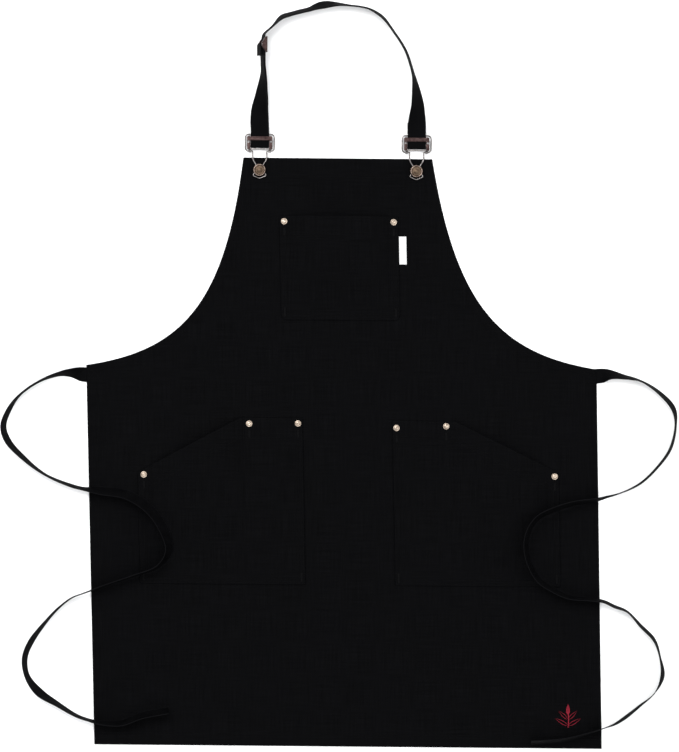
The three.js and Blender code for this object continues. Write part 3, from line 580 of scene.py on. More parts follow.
def strap_mesh(name, centre, side, width, thick, material, ripple=0.0):
    """A woven strap along its stations, with UVs in metres along and across it."""
    travel = unit(np.gradient(centre, axis=0))
    face = unit(np.cross(travel, side))
    section = strap_section(width, thick)
    lengths = travelled(centre)
    phases = random.uniform(0, TWO_PI, 4)
    points, uvs = [], []
    curl = ripple * (np.sin(lengths * 47 + phases[0]) + 0.6 * np.sin(lengths * 103 + phases[1]))
    for across, through in section:
        bow = curl * ((2 * across / width) ** 2 - 0.4)
        edge = 0.12 * MM * np.sin(lengths * 900 + phases[2]) * abs(2 * across / width) ** 8
        reach = (across + math.copysign(1, across) * edge * 0.5)[:, None]
        points.append(centre + side * reach + face * (through + bow)[:, None])
        uvs.append(np.stack([lengths, np.full(len(lengths), across + through)], axis=1))
    points = np.stack(points, axis=1).reshape(-1, 3)
    points[:, 2] = np.maximum(points[:, 2], 0.05 * MM)
    uvs = np.stack(uvs, axis=1).reshape(-1, 2)
    return add_mesh(name, points, tube_faces(len(centre), len(section), False), material, uvs)


def add_ties():
    for name, route in (("left_waist_tie", LEFT_TIE_ROUTE), ("right_waist_tie", RIGHT_TIE_ROUTE)):
        centre, side, _ = strap_stations(route, TIE_WIDTH, TIE_THICK, 2.5 * MM)
        tie = strap_mesh(f"{name}_tape", centre, side, TIE_WIDTH, TIE_THICK, TAPE_MAT, 0.15 * MM)
        place_piece(tie, "apron", [name])


add_ties()

# ---------------------------------------------------------------- how the cloth lies

ARMHOLE = np.array([
    (HALF_BIB, LENGTH), (HALF_BIB + ARMHOLE_PULLS[0][0], LENGTH + ARMHOLE_PULLS[0][1]),
    (HALF_WAIST + ARMHOLE_PULLS[1][0], WAIST + ARMHOLE_PULLS[1][1]), (HALF_WAIST, WAIST),
])


def armhole_line(count):
    """Points down the right armhole at equal steps, from the bib to the waist."""
    t = np.linspace(0, 1, 2000)[:, None]
    a, b, c, d = ARMHOLE
    line = a * (1 - t) ** 3 + 3 * b * t * (1 - t) ** 2 + 3 * c * t**2 * (1 - t) + d * t**3
    return resampled(line, count)


ARM_POINTS = armhole_line(400)


def from_armhole(u, v):
    """How far inside the nearer armhole pattern points are."""
    across = np.abs(np.ravel(u))[:, None] - ARM_POINTS[:, 0]
    along = np.ravel(v)[:, None] - ARM_POINTS[:, 1]
    return np.sqrt((across**2 + along**2).min(axis=1)).reshape(np.shape(u))


def side_at(v):
    return HALF_BOTTOM + (HALF_WAIST - HALF_BOTTOM) * np.asarray(v) / WAIST


def mouth_at(pocket, across):
    beyond = np.maximum(np.asarray(across) - pocket["flat"], 0)
    return pocket["top"] - pocket["slant"] * beyond / max(pocket["width"] - pocket["flat"], MM)


def foot_at(pocket, across):
    into = np.maximum(pocket["corner"] - np.minimum(across, pocket["width"] - across), 0)
    rise = pocket["corner"] - np.sqrt(np.maximum(pocket["corner"] ** 2 - into**2, 0))
    return pocket["top"] - pocket["height"] + rise


def gape_at(pocket, across, v):
    """How far a pocket's cloth stands up where its mouth gapes."""
    start, end = pocket["opening"]
    along = np.clip((across - start) / (end - start), 0, 1)
    foot = pocket["top"] - pocket["height"]
    rise = smoothstep((v - foot) / (mouth_at(pocket, across) - foot), 0, pocket["fill"])
    return pocket["gape"] * np.sin(math.pi * along) ** 0.6 * rise


def rivet_spots(pocket):
    """A pocket's rivets as (u, v)."""
    spots = []
    for across, below in pocket["rivets"]:
        spots.append((pocket["start"] + pocket["side"] * across, mouth_at(pocket, across) - below))
    return spots


RIVETS = [spot for pocket in POCKETS for spot in rivet_spots(pocket)]
WAVES = [
    (amplitude * MM, TWO_PI / length, angle, random.uniform(0, TWO_PI))
    for amplitude, length, angle in (
        (0.34, 0.31, 0.4), (0.30, 0.23, 1.9), (0.26, 0.16, 2.7), (0.20, 0.11, 1.2), (0.13, 0.071, 0.1),
        (0.11, 0.052, 2.2),
    )
]


def waves(u, v):
    """The slight unevenness of cloth that has been folded, then smoothed out by hand."""
    total = np.zeros(np.shape(u))
    for amplitude, rate, angle, phase in WAVES:
        bend = 0.6 * np.sin(v * rate * 0.37 + phase * 2)
        total += amplitude * np.sin((u * math.cos(angle) + v * math.sin(angle)) * rate + phase + bend)
    for fold, axis in ((0.0, u), (0.268, v), (0.535, v)):
        total += 0.35 * MM * np.exp(-(((axis - fold) / 0.006) ** 2))
    return total


def panel_top(u, v):
    """Height of the panel's face: held up by its hems, rivets and nails, and low between them."""
    u, v = np.asarray(u, float), np.asarray(v, float)
    carried = 1 - smoothstep(v, BOTTOM_HEM - 1 * MM, BOTTOM_HEM + 9 * MM)
    inside = side_at(v) - np.abs(u)
    side = (1 - smoothstep(inside, SIDE_HEM - 1 * MM, SIDE_HEM + 9 * MM)) * (1 - smoothstep(v, 0.53, 0.55))
    arm = (1 - smoothstep(from_armhole(u, v), BINDING - 1 * MM, BINDING + 9 * MM)) * smoothstep(v, 0.49, 0.51)
    top = smoothstep(v, LENGTH - TOP_FACING - 10 * MM, LENGTH - TOP_FACING + 1 * MM)
    for lift in (side, arm, top):
        carried = np.maximum(carried, lift)
    for spot in RIVETS:
        carried = np.maximum(carried, 1 - smoothstep(np.hypot(u - spot[0], v - spot[1]), 5 * MM, 16 * MM))
    low = 1.05 * MM + waves(u, v) * 0.55
    pucker = 0.10 * MM * np.sin(v * 430) * (1 - smoothstep(inside, SIDE_HEM, SIDE_HEM + 14 * MM))
    pucker = pucker + 0.10 * MM * np.sin(u * 430) * (1 - smoothstep(v, BOTTOM_HEM, BOTTOM_HEM + 14 * MM))
    high = PANEL_TOP - 0.12 * MM + waves(u, v) * 0.08
    height = np.maximum(low, 0.85 * MM) * (1 - carried) + high * carried
    return np.minimum(height + pucker * (1 - carried), PANEL_TOP)


def lifted(u, v, height):
    """Points at a height over pattern points."""
    x, y = lay(u, v)
    return np.stack([x, y, np.broadcast_to(height, np.shape(x))], axis=-1)


def folded_rim(total, back):
    """The edge of cloth that is folded under itself: round it, back along the underside, and up."""
    return [*rounded_rim(total, (90, 55, 20, -20, -55, -90)), (back, total), (back, CANVAS + 0.02 * MM)]


# ---------------------------------------------------------------- panel and its hems


def panel_grid():
    """Pattern points of the panel: level rows up to the waist, then rows that bend to follow the armholes."""
    edge = armhole_line(72)[::-1]
    low_rows = np.linspace(0, WAIST, 97)[:-1]
    edge_v = np.concatenate([low_rows, edge[:, 1]])
    half = np.concatenate([side_at(low_rows), edge[:, 0]])
    middle_v = np.concatenate([low_rows, np.linspace(WAIST, LENGTH, len(edge))])
    share = np.sin(np.linspace(-1, 1, 125) * math.pi / 2 * 0.86) / math.sin(math.pi / 2 * 0.86)
    u = half[:, None] * share
    v = middle_v[:, None] + (edge_v - middle_v)[:, None] * share**2
    return u, v


def add_panel():
    u, v = panel_grid()
    panel = slab("panel_cloth", lifted(u, v, panel_top(u, v)), CANVAS, CANVAS_MAT)
    place_piece(panel, "apron", ["apron_panel"])
    du, dv = ((grid[1:, 1:] - grid[:-1, :-1], grid[1:, :-1] - grid[:-1, 1:]) for grid in (u, v))
    cells = 0.5 * np.abs(du[0] * dv[1] - du[1] * dv[0])
    return panel, float(cells.sum())


def strip(name, line, inward, width, node, low=0.06 * MM, high=HEM_TOP, start=0.0):
    """A folded strip under the panel's edge: line is the edge's pattern points, inward their unit normals."""
    shares = np.array([0, 0.06, 0.3, 0.5, 0.7, 0.94, 1.0])
    depth = start + (width - start) * shares
    wobble = 0.35 * MM * np.sin(np.arange(len(line)) * 0.9) * shares[:, None]
    u = line[:, 0] + inward[:, 0] * (depth[:, None] + wobble)
    v = line[:, 1] + inward[:, 1] * (depth[:, None] + wobble)
    rim = rounded_rim(high - low, (90, 45, 0, -45, -90))
    made = slab(name, lifted(u, v, high), high - low, CANVAS_MAT, rim)
    return place_piece(made, "apron", [node])


def add_hems():
    made = []
    along = np.linspace(-HALF_BOTTOM, HALF_BOTTOM, 140)
    line = np.stack([along, np.zeros(140)], axis=1)
    made.append(strip("bottom_hem_cloth", line, np.tile([0, 1.0], (140, 1)), BOTTOM_HEM, "bottom_hem"))
    rise = np.linspace(BOTTOM_HEM + 0.4 * MM, 0.490, 95)
    inner = armhole_line(90)[:84]
    outward = unit(np.gradient(inner, axis=0))
    for hand, label in zip(HANDS, ("left", "right")):
        line = np.stack([hand * side_at(rise), rise], axis=1)
        inward = np.tile([-hand, 0.0], (95, 1))
        made.append(strip(f"{label}_side_hem_cloth", line, inward, SIDE_HEM, f"{label}_side_hem"))
        line = inner * np.array([hand, 1])
        inward = np.stack([hand * outward[:, 1], -outward[:, 0]], axis=1)
        made.append(strip(f"{label}_armhole_facing", line, inward, BINDING, f"{label}_armhole_binding"))
    top = np.linspace(-1, 1, 60) * (HALF_BIB - BINDING - 0.6 * MM)
    line = np.stack([top, np.full(60, LENGTH)], axis=1)
    facing = strip("top_facing_cloth", line, np.tile([0, -1.0], (60, 1)), TOP_FACING, "top_facing", 0.8 * MM)
    return [*made, facing]


PANEL, PANEL_AREA = add_panel()
HEMS = add_hems()

# ---------------------------------------------------------------- pockets

PLY_GAP = 0.05 * MM
UNDER_EDGE = CANVAS + PLY_GAP
GRID_STEP = 3.2 * MM
HEM_ROWS = 12
HEM_INSET = 1.6 * MM


def pocket_top(pocket, across, v):
    """Height of a pocket's face over its panel, folded edges and mouth hem."""
    u = pocket["start"] + pocket["side"] * across
    to_side = np.minimum(across, pocket["width"] - across)
    to_foot = v - foot_at(pocket, across)
    from_mouth = mouth_at(pocket, across) - v
    folded = 1 - smoothstep(np.minimum(to_side, to_foot), 7 * MM, 12 * MM)
    hemmed = 1 - smoothstep(from_mouth, pocket["hem"] - 1 * MM, pocket["hem"] + 5 * MM)
    raised = UNDER_EDGE * (1 + np.maximum(folded, hemmed)) + gape_at(pocket, across, v) * 0.96
    middle = np.clip(to_side / 0.03, 0, 1) * np.clip(to_foot / 0.03, 0, 1)
    sag = 0.22 * MM * np.sin(across * 95 + v * 40) * middle
    pull = 0.0
    for spot in rivet_spots(pocket):
        near = np.hypot(u - spot[0], v - spot[1])
        star = np.cos(np.arctan2(v - spot[1], u - spot[0]) * 5)
        pull = pull + np.exp(-((near / 0.028) ** 2)) * star * 0.25 * MM
    ripples = pull * smoothstep(np.minimum(to_side, np.maximum(to_foot, 0)), 3 * MM, 14 * MM)
    return panel_top(u, v) + raised + np.maximum(sag, -0.1 * MM) + ripples * 0.5


def pocket_grid(pocket, low, rows):
    """Pattern points over a pocket from a height to its mouth, with lines close together at its edges."""
    width = pocket["width"]
    near = np.array([0, 0.2, 0.5, 0.8, 1.0]) * pocket["corner"]
    inside = np.linspace(pocket["corner"], width - pocket["corner"], int(width / GRID_STEP))[1:-1]
    across = np.concatenate([near, inside, width - near[::-1]])
    share = np.linspace(0, 1, rows)[:, None]
    bottom = low(across)
    v = bottom + (mouth_at(pocket, across) - bottom) * share
    return np.broadcast_to(across, v.shape), v


def add_pocket(pocket):
    name, width, side = pocket["name"], pocket["width"], pocket["side"]
    across, v = pocket_grid(pocket, lambda a: foot_at(pocket, a), int(pocket["height"] / GRID_STEP))
    top = lifted(pocket["start"] + side * across, v, pocket_top(pocket, across, v))
    cloth = slab(f"{name}_cloth", top, CANVAS, CANVAS_MAT, folded_rim(2 * CANVAS + PLY_GAP, 7 * MM))
    place_piece(cloth, "apron", [name])

    across, v = pocket_grid(pocket, lambda a: mouth_at(pocket, a) - pocket["hem"], HEM_ROWS)
    u = pocket["start"] + side * (HEM_INSET + across * (1 - 2 * HEM_INSET / width))
    v = v - 1.7 * MM * np.linspace(0, 1, HEM_ROWS)[:, None]
    top = lifted(u, v, pocket_top(pocket, across, v) - CANVAS - PLY_GAP)
    hem = slab(f"{name}_hem_cloth", top, CANVAS * 0.92, CANVAS_MAT)
    place_piece(hem, "apron", [f"{name}_hem"])


for each in POCKETS:
    add_pocket(each)

# ---------------------------------------------------------------- stitching


class Stitches:
    """Many small thread capsules gathered into one mesh."""

    SIDES = 6
    SHAPE = ((0.0, 0.45), (0.14, 0.95), (0.5, 1.0), (0.86, 0.95), (1.0, 0.45))
    GAP = 0.7 * MM
    SINK = 0.05 * MM

    def __init__(self, thick=0.46 * MM):
        self.thick, self.tubes = thick, []

    def lay(self, start, end, rise=0.0):
        """One stitch from start to end, raised by rise in its middle."""
        start = np.asarray(start, float)
        reach = np.asarray(end, float) - start
        side = np.cross(reach, (0, 0, 1.0))
        side /= np.linalg.norm(side)
        up = np.cross(side, reach / np.linalg.norm(reach))
        angles = np.arange(self.SIDES)[:, None] * TWO_PI / self.SIDES
        outline = (np.cos(angles) * side + np.sin(angles) * up) * self.thick / 2
        self.tubes.append(np.concatenate([
            start + reach * share + (0, 0, rise * math.sin(math.pi * share)) + outline * fat
            for share, fat in self.SHAPE
        ]))

    def run(self, pattern, height, pitch=3.0 * MM):
        """A row of lockstitches along pattern points, on the face whose height is given by height(u, v)."""
        line = equal_steps(np.asarray(pattern, float), pitch)
        short = unit(np.diff(line, axis=0)) * self.GAP / 2
        ends = []
        for points in (line[:-1] + short, line[1:] - short):
            u, v = points.T
            ends.append(lifted(u, v, height(u, v) + self.thick / 2 - self.SINK))
        for low, high in zip(*ends):
            self.lay(low, high, 0.05 * MM)

    def tack(self, centre, reach, width, height):
        """A bar tack: close threads across a short bar."""
        v = centre[1] + np.linspace(-reach / 2, reach / 2, int(reach / (0.42 * MM)))
        ends = []
        for hand in (-1, 1):
            u = np.full(len(v), centre[0] + hand * width / 2)
            ends.append(lifted(u, v, height(u, v) + self.thick / 2))
        for low, high in zip(*ends):
            self.lay(low, high, 0.12 * MM)

    def build(self, name, material, body, nodes=()):
        made = add_tubes(name, self.tubes, len(self.SHAPE), self.SIDES, material)
        return place_piece(made, body, nodes)


def level(v, reach, count):
    """Pattern points across the apron at one height."""
    return np.stack([np.linspace(-reach, reach, count), np.full(count, v)], axis=1)


def add_hem_stitches():
    rows = Stitches()
    for height in (0.0165, 0.0125):
        rows.run(level(height, 0.338, 40), panel_top)
    rise = np.linspace(0.020, 0.492, 30)
    for depth in (0.013, 0.0025):
        for hand in HANDS:
            rows.run(np.stack([hand * (side_at(rise) - depth), rise], axis=1), panel_top)
    inner = armhole_line(120)
    normal = unit(np.gradient(inner, axis=0))
    for depth in (0.0025, 0.0083):
        line = inner + np.stack([normal[:, 1], -normal[:, 0]], axis=1) * depth
        line = line[line[:, 1] < LENGTH - 2 * MM]
        for hand in HANDS:
            rows.run(line * (hand, 1), panel_top)
    for depth in (0.0030, 0.0255):
        rows.run(level(LENGTH - depth, 0.124, 20), panel_top)
    corner = np.array([(0.3435, 0.498), (0.3435, 0.512), (0.328, 0.514), (0.328, 0.498), (0.3435, 0.498)])
    for hand in HANDS:
        for line in (corner, corner[[0, 2]], corner[[1, 3]]):
            rows.run(line * (hand, 1), panel_top, 2.2 * MM)
    return rows.build("hem_stitches", BLACK_THREAD, "apron")


def add_pocket_stitches(pocket):
    rows = Stitches()
    width, corner, start, side = (pocket[key] for key in ("width", "corner", "start", "side"))
    foot = pocket["top"] - pocket["height"]

    def face(u, v):
        return pocket_top(pocket, np.clip((u - start) * side, 0, width), v)

    def sew(across, v):
        rows.run(np.stack([start + side * np.asarray(across), v], axis=1), face)

    def tack(across, v, reach):
        rows.tack((start + side * across, v), reach, 3.6 * MM, face)

    for depth in (0.0022, 0.0080):
        ends = [float(mouth_at(pocket, across)) - 3 * MM for across in (depth, width - depth)]
        radius = max(corner - depth, 0.3 * MM)
        turn = arc(depth + radius, foot + depth + radius, radius, 180, 270, 7)
        back = [(width - across, v) for across, v in turn[::-1]]
        path = np.array([(depth, ends[0]), *turn, *back, (width - depth, ends[1])])
        sew(path[:, 0], path[:, 1])
    for inset, below in ((10, pocket["hem"] - 2.5 * MM), (10, pocket["hem"] - 8 * MM), (4, 2.2 * MM)):
        across = np.linspace(inset * MM, width - inset * MM, 30)
        sew(across, mouth_at(pocket, across) - below)
    for across, below in pocket["rivets"]:
        tack(across, float(mouth_at(pocket, across)) - below - 14 * MM, 10 * MM)
    for across in (5.5 * MM, width - 5.5 * MM):
        tack(across, foot + 10.5 * MM, 12 * MM)
    rows.build(f"{pocket['name']}_stitches", BLACK_THREAD, "apron")


HEM_STITCHES = add_hem_stitches()
for each in POCKETS:
    add_pocket_stitches(each)

# ---------------------------------------------------------------- neck strap

BUCKLE_TURN = -math.atan(DROP)
ROLL_BAR = 0.0325
WIRE_Z = 5.05 * MM
BUCKLE_PITCH = 3.9 * MM
LAYER_PITCH = 1.5 * MM
RETURN_END = 0.549
TURNBACK_END = 0.449


def button_centre(hand):
    return np.array(lay(hand * BUTTON_U, BUTTON_V))


def in_buckle(hand, points):
    """Points given in a buckle's own frame (x across, y to the neck, z up), in the model's."""
    points = np.asarray(points, float)
    cos, sin = math.cos(BUCKLE_TURN), math.sin(BUCKLE_TURN)
    flat = button_centre(hand) + points[:, :2] @ np.array([(cos, sin), (-sin, cos)])
    return np.concatenate([flat, points[:, 2:3]], axis=1)


def hairpin(hand, side, radius, steps=14):
    """The turn round a roll bar, from the upper layer to the lower one."""
    angles = math.pi * np.arange(1, steps) / steps
    turn = in_buckle(hand, [(0, ROLL_BAR, WIRE_Z)]) + np.stack(
        [0 * angles, -radius * np.sin(angles), radius * np.cos(angles)], axis=1
    )
    return turn, np.repeat(side[None], len(angles), axis=0)


def neck_stations():
    centre, side, face = strap_stations(NECK_ROUTE, STRAP_WIDTH, STRAP_THICK, 3 * MM)
    table_y = centre[:, 1] + CENTRE[1]
    half = np.arange(len(centre)) < len(centre) / 2
    pitch = BUCKLE_PITCH + (LAYER_PITCH - BUCKLE_PITCH) * smoothstep(table_y, 0.436, 0.468)
    back = half & (table_y < RETURN_END)
    turned = ~half & (table_y < TURNBACK_END)
    upper = (centre + face * pitch[:, None])[back][::-1]
    lower = (centre - face * pitch[:, None])[turned][::-1]
    left_turn, left_side = hairpin(-1, side[0], BUCKLE_PITCH / 2)
    right_turn, right_side = hairpin(1, side[-1], BUCKLE_PITCH / 2)
    line = np.concatenate([upper, left_turn, centre, right_turn, lower])
    sides = np.concatenate([side[back][::-1], left_side, side, right_side, side[turned][::-1]])
    return line, sides, (centre, side, face, table_y)


NECK_LINE, NECK_SIDES, NECK_MAIN = neck_stations()
NECK_STRAP = strap_mesh(
    "neck_strap_webbing", NECK_LINE, NECK_SIDES, STRAP_WIDTH, STRAP_THICK, WEBBING_MAT, 0.05 * MM,
)
place_piece(NECK_STRAP, "neck_loop", ["neck_strap"])


def add_strap_stitches():
    """The box that closes the fixed end of the strap behind the right buckle."""
    rows = Stitches(0.5 * MM)
    centre, side, face, table_y = NECK_MAIN
    right = np.arange(len(centre)) > len(centre) / 2

    def at(y, across, lift):
        index = np.flatnonzero(right)[np.argmin(np.abs(table_y[right] - y))]
        nearer = centre[index].copy()
        nearer[1] = y - CENTRE[1]
        return nearer + side[index] * across + face[index] * lift

    low, high, reach, lift = 0.4405, 0.4475, 0.0095, STRAP_THICK / 2 + 0.1 * MM
    corners = np.array([(low, -reach), (low, reach), (high, reach), (high, -reach)])
    for first, last in ((0, 1), (1, 2), (2, 3), (3, 0), (0, 2), (1, 3)):
        start, travel = corners[first], corners[last] - corners[first]
        count = max(int(np.linalg.norm(travel) / (2.2 * MM)), 2)
        for step in range(count):
            ends = [start + travel * share for share in (step / count + 0.04, (step + 1) / count - 0.04)]
            rows.lay(at(*ends[0], lift), at(*ends[1], lift), 0.05 * MM)
    rows.build("strap_box_stitch", BLACK_THREAD, "neck_loop")


add_strap_stitches()

# ---------------------------------------------------------------- buckles

FRAME_HALF, FRAME_LOW, FRAME_HIGH = 0.0196, 0.0259, 0.0484
WIRE_RADIUS = 0.98 * MM
EAR_INNER, EAR_OUTER = 0.0129, 0.0172
EAR_HOLE = (0.01505, 0.0382)
EAR_HOLE_RADIUS = 1.2 * MM


def wire_half():
    """Half of a buckle's wire, anticlockwise from the foot of the button loop to the frame's top."""
    loop = [
        (2.6, -10.2), (5.4, -8.8), (7.8, -8), (8.5, -6.5), (7.2, -4.4), (4.4, 0.4), (3.5, 4.2),
        (5.4, 8.2), (8.4, 13), (9.7, 18.5), (9.5, 23), (9.8, 25.1), (11.4, 25.9), (13.5, 25.9),
    ]
    points = [(x * MM, y * MM) for x, y in loop]
    radius = 4 * MM
    points += arc(FRAME_HALF - radius, FRAME_LOW + radius, radius, -90, 0)
    points += [(FRAME_HALF, (FRAME_LOW + FRAME_HIGH) / 2)]
    points += arc(FRAME_HALF - radius, FRAME_HIGH - radius, radius, 0, 90)
    return points + [(FRAME_HALF / 3, FRAME_HIGH)]


def add_wire(hand, label):
    right = wire_half()
    outline = [(0, -10.9 * MM), *right, *[(-x, y) for x, y in right[::-1]]]
    line, _ = catmull([(x, y, WIRE_Z) for x, y in outline], True, 6)
    line = equal_steps(np.concatenate([line, line[:1]]), 1.1 * MM)[:-1]
    wire = swept(f"{label}_bail_wire", circle_section(WIRE_RADIUS, 16), line, STEEL, True)
    settle(wire, lambda points: in_buckle(hand, points))
    place_piece(wire, f"{label}_bail", [f"{label}_buckle_wire"])


def bevelled(name, outline, low, high, material, bevel):
    """Flat metal extruded from an outline between two heights, with its edges rounded."""
    mesh = bpy.data.meshes.new(name)
    shape = bmesh.new()
    base, lid = ([shape.verts.new((x, y, z)) for x, y in outline] for z in (low, high))
    shape.faces.new(base[::-1])
    shape.faces.new(lid)
    for index in range(len(outline)):
        after = (index + 1) % len(outline)
        shape.faces.new([base[index], base[after], lid[after], lid[index]])
    shape.normal_update()
    sharp = [edge for edge in shape.edges if edge.calc_face_angle(0) > 0.6]
    bmesh.ops.bevel(shape, geom=sharp, offset=bevel, segments=3, profile=0.6, affect="EDGES")
    shape.to_mesh(mesh)
    shape.free()
    mesh.materials.append(material)
    mesh.shade_smooth()
    made = bpy.data.objects.new(name, mesh)
    bpy.context.scene.collection.objects.link(made)
    return made


def metal_slot(piece):
    return "steel_wire" if piece.data.materials[0] == STEEL else "brown_metal"


def settle(piece, placed):
    """Moves a mesh's own points through placed(points)."""
    points = np.empty(len(piece.data.vertices) * 3)
    piece.data.vertices.foreach_get("co", points)
    piece.data.vertices.foreach_set("co", placed(points.reshape(-1, 3)).ravel())
    piece.data.update()


def metal_slot(piece):
    return "steel_wire" if piece.data.materials[0] == STEEL else "brown_metal"


def rounded_box(half, low, high, radius):
    """An outline as wide as twice half, with round corners."""
    x = half - radius
    return [
        *arc(x, low + radius, radius, -90, 0, 5), *arc(x, high - radius, radius, 0, 90, 5),
        *arc(-x, high - radius, radius, 90, 180, 5), *arc(-x, low + radius, radius, 180, 270, 5),
    ]


def swept(name, section, path, material, closed=False):
    """A bar of a given section (points across and up) along a level path."""
    path = np.asarray(path, float)
    if closed:
        travel = unit(np.roll(path, -1, axis=0) - np.roll(path, 1, axis=0))
    else:
        travel = unit(np.gradient(path, axis=0))
    side = np.cross(travel, (0, 0, 1.0))
    points = np.stack([path + side * a + (0, 0, b) for a, b in section], axis=1).reshape(-1, 3)
    return add_mesh(name, points, tube_faces(len(path), len(section), closed), material)


def crossbar(name, reach, y, z, section, count=30):
    """A straight steel or brown bar across the strap, as section, material."""
    outline, material = section
    line = np.stack([np.linspace(-reach, reach, count), np.full(count, y), np.full(count, z)], axis=1)
    return swept(name, outline, line, material)


def ear_outline(hand):
    """An ear seen from above, in two halves that meet at its hole's middle."""
    upper = [(EAR_INNER, EAR_HOLE[1]), *arc(*EAR_HOLE, EAR_HOLE_RADIUS, 180, 0, 14)]
    upper += [(EAR_OUTER, EAR_HOLE[1]), *arc(EAR_OUTER - 1.9 * MM, 0.0460 - 1.9 * MM, 1.9 * MM, 0, 90)]
    upper += [(EAR_INNER, 0.0460)]
    lower = [(EAR_HOLE[0] - EAR_HOLE_RADIUS, EAR_HOLE[1]), (EAR_INNER, EAR_HOLE[1]), (EAR_INNER, 0.0282)]
    lower += [*arc(EAR_OUTER - 0.9 * MM, 0.0282 + 0.9 * MM, 0.9 * MM, -90, 0, 4), (EAR_OUTER, EAR_HOLE[1])]
    lower += arc(*EAR_HOLE, EAR_HOLE_RADIUS, 360, 180, 14)[:-1]
    if hand > 0:
        return upper, lower
    return [[(-x, y) for x, y in half[::-1]] for half in (upper, lower)]


def plate_curl(name, hand):
    """An ear's end, curled round the frame's lower bar."""
    turn = np.radians(np.linspace(80, 395, 22))
    walls = [(2.08 * MM, a) for a in turn] + [(1.32 * MM, a) for a in turn[::-1]]
    section = [(FRAME_LOW + r * math.cos(a), WIRE_Z + r * math.sin(a)) for r, a in walls]
    across = hand * np.linspace(0.0118, 0.0152, 8)
    points = np.array([(x, y, z) for x in across for y, z in section])
    return add_mesh(name, points, tube_faces(len(across), len(section), False), STEEL)


def add_plate(hand, label):
    """The sliding plate: pierced ears, a ribbed cover bar, a roll bar, a foot strip and curled ends."""
    pieces = []
    eyelet = circle_section(0.32 * MM, 10)
    for side in HANDS:
        for part, outline in zip(("ear", "cheek"), ear_outline(side)):
            pieces.append(bevelled(f"{label}_plate_{part}", outline, 4.4 * MM, 9.05 * MM, BROWN, 0.26 * MM))
        rim = [(side * EAR_HOLE[0] + x, EAR_HOLE[1] + y, 9.0 * MM) for x, y in circle_section(1.45 * MM, 32)]
        pieces.append(swept(f"{label}_plate_eyelet", eyelet, rim, STEEL, True))
    box = rounded_box(EAR_OUTER - 0.9 * MM, 0.0401, 0.0456, 1.2 * MM)
    cover = bevelled(f"{label}_plate_cover", box, 7.95 * MM, 8.75 * MM, BROWN, 0.28 * MM)
    pieces.append(cover)
    ridge_section = circle_section(0.85 * MM, 14, 0.62), BROWN
    for ridge in (0.0412, 0.0443):
        pieces.append(crossbar(f"{label}_plate_ridge", 0.0150, ridge, 8.6 * MM, ridge_section))
    bar_section = circle_section(WIRE_RADIUS, 16), STEEL
    pieces.append(crossbar(f"{label}_plate_roll_bar", 0.0138, ROLL_BAR, WIRE_Z, bar_section, 24))
    box = rounded_box(EAR_OUTER - 0.7 * MM, 0.0276, 0.0294, 0.5 * MM)
    foot = WIRE_Z - 0.4 * MM, WIRE_Z + 0.42 * MM
    pieces.append(bevelled(f"{label}_plate_foot", box, *foot, STEEL, 0.16 * MM))
    pieces += [plate_curl(f"{label}_plate_curl", side) for side in HANDS]
    for piece in pieces:
        settle(piece, lambda points: in_buckle(hand, points))
        place_piece(piece, "neck_loop")
    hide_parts(f"{label}_buckle_plate")


# ---------------------------------------------------------------- buttons, rivets and their backs

# Turned profiles, as (radius, height) in millimetres
BUTTON_RIM = (
    (1.6, 2.75), (2.35, 2.75), (2.35, 7.1), (2.8, 7.42), (6.9, 7.42), (8.0, 7.9), (8.45, 8.6), (8.5, 9.1),
    (8.3, 9.75), (7.95, 10.3), (7.5, 10.56), (7.05, 10.55), (6.65, 10.25), (6.35, 9.75), (6.15, 9.62),
    (1.7, 9.62), (1.6, 9.4),
)
BUTTON_DISH = (
    (0, 9.72), (5.95, 9.72), (6.05, 9.95), (5.85, 10.12), (5.5, 10.1), (5.2, 10.02), (4.7, 10.05),
    (2.4, 10.2), (2.2, 10.32), (1.9, 10.42), (0.8, 10.5), (0, 10.52),
)
BUTTON_NAIL = (
    (0, 0.06), (3.6, 0.06), (4.7, 0.2), (5.0, 0.42), (4.7, 0.64), (4.2, 0.72), (1.5, 0.74), (1.2, 0.95),
    (1.2, 6.6), (0.7, 7.15), (0, 7.25),
)
RIVET_CAP = (
    (0, 0.85), (1.9, 0.85), (2.0, 1.0), (2.0, 4.02), (3.95, 4.02), (4.28, 4.14), (4.34, 4.34), (4.16, 4.54),
    (3.85, 4.60), (3.62, 4.50), (3.45, 4.52), (3.1, 4.86), (2.5, 5.20), (1.7, 5.44), (1.2, 5.50),
    (1.0, 5.44), (0.7, 5.36), (0, 5.36),
)
RIVET_BURR = ((2.3, 0.82), (3.2, 0.82), (3.55, 0.95), (3.6, 1.2), (3.45, 1.45), (2.9, 1.53), (2.4, 1.45))


def bead_ring(name, centre):
    """The ring of small raised beads on a button's dish."""
    ring, bead, height = 3.6 * MM, 0.36 * MM, 10.05 * MM
    polar, turn = np.radians((80, 50, 20)), np.arange(8) * TWO_PI / 8
    shape = bead * np.array([
        (math.sin(p) * math.cos(t), math.sin(p) * math.sin(t), math.cos(p)) for p in polar for t in turn
    ])
    middles = [(centre[0] + x, centre[1] + y, height) for x, y in circle_section(ring, 18)]
    return add_tubes(name, [shape + middle for middle in middles], len(polar), len(turn), FACE_BROWN)


def add_button(hand, label):
    centre, body = button_centre(hand), f"{label}_button"
    cap = turned(f"{label}_button_rim", BUTTON_RIM, 64, RING, centre)
    place_piece(cap, body, [f"{label}_button_cap"])
    face = turned(f"{label}_button_dish", BUTTON_DISH, 48, FACE_BROWN, centre)
    place_piece(face, body, [f"{label}_button_face"])
    place_piece(bead_ring(f"{label}_button_beads", centre), body)
    nail = turned(f"{label}_button_tack", BUTTON_NAIL, 40, BRASS, centre)
    place_piece(nail, "apron", [f"{label}_button_nail"])


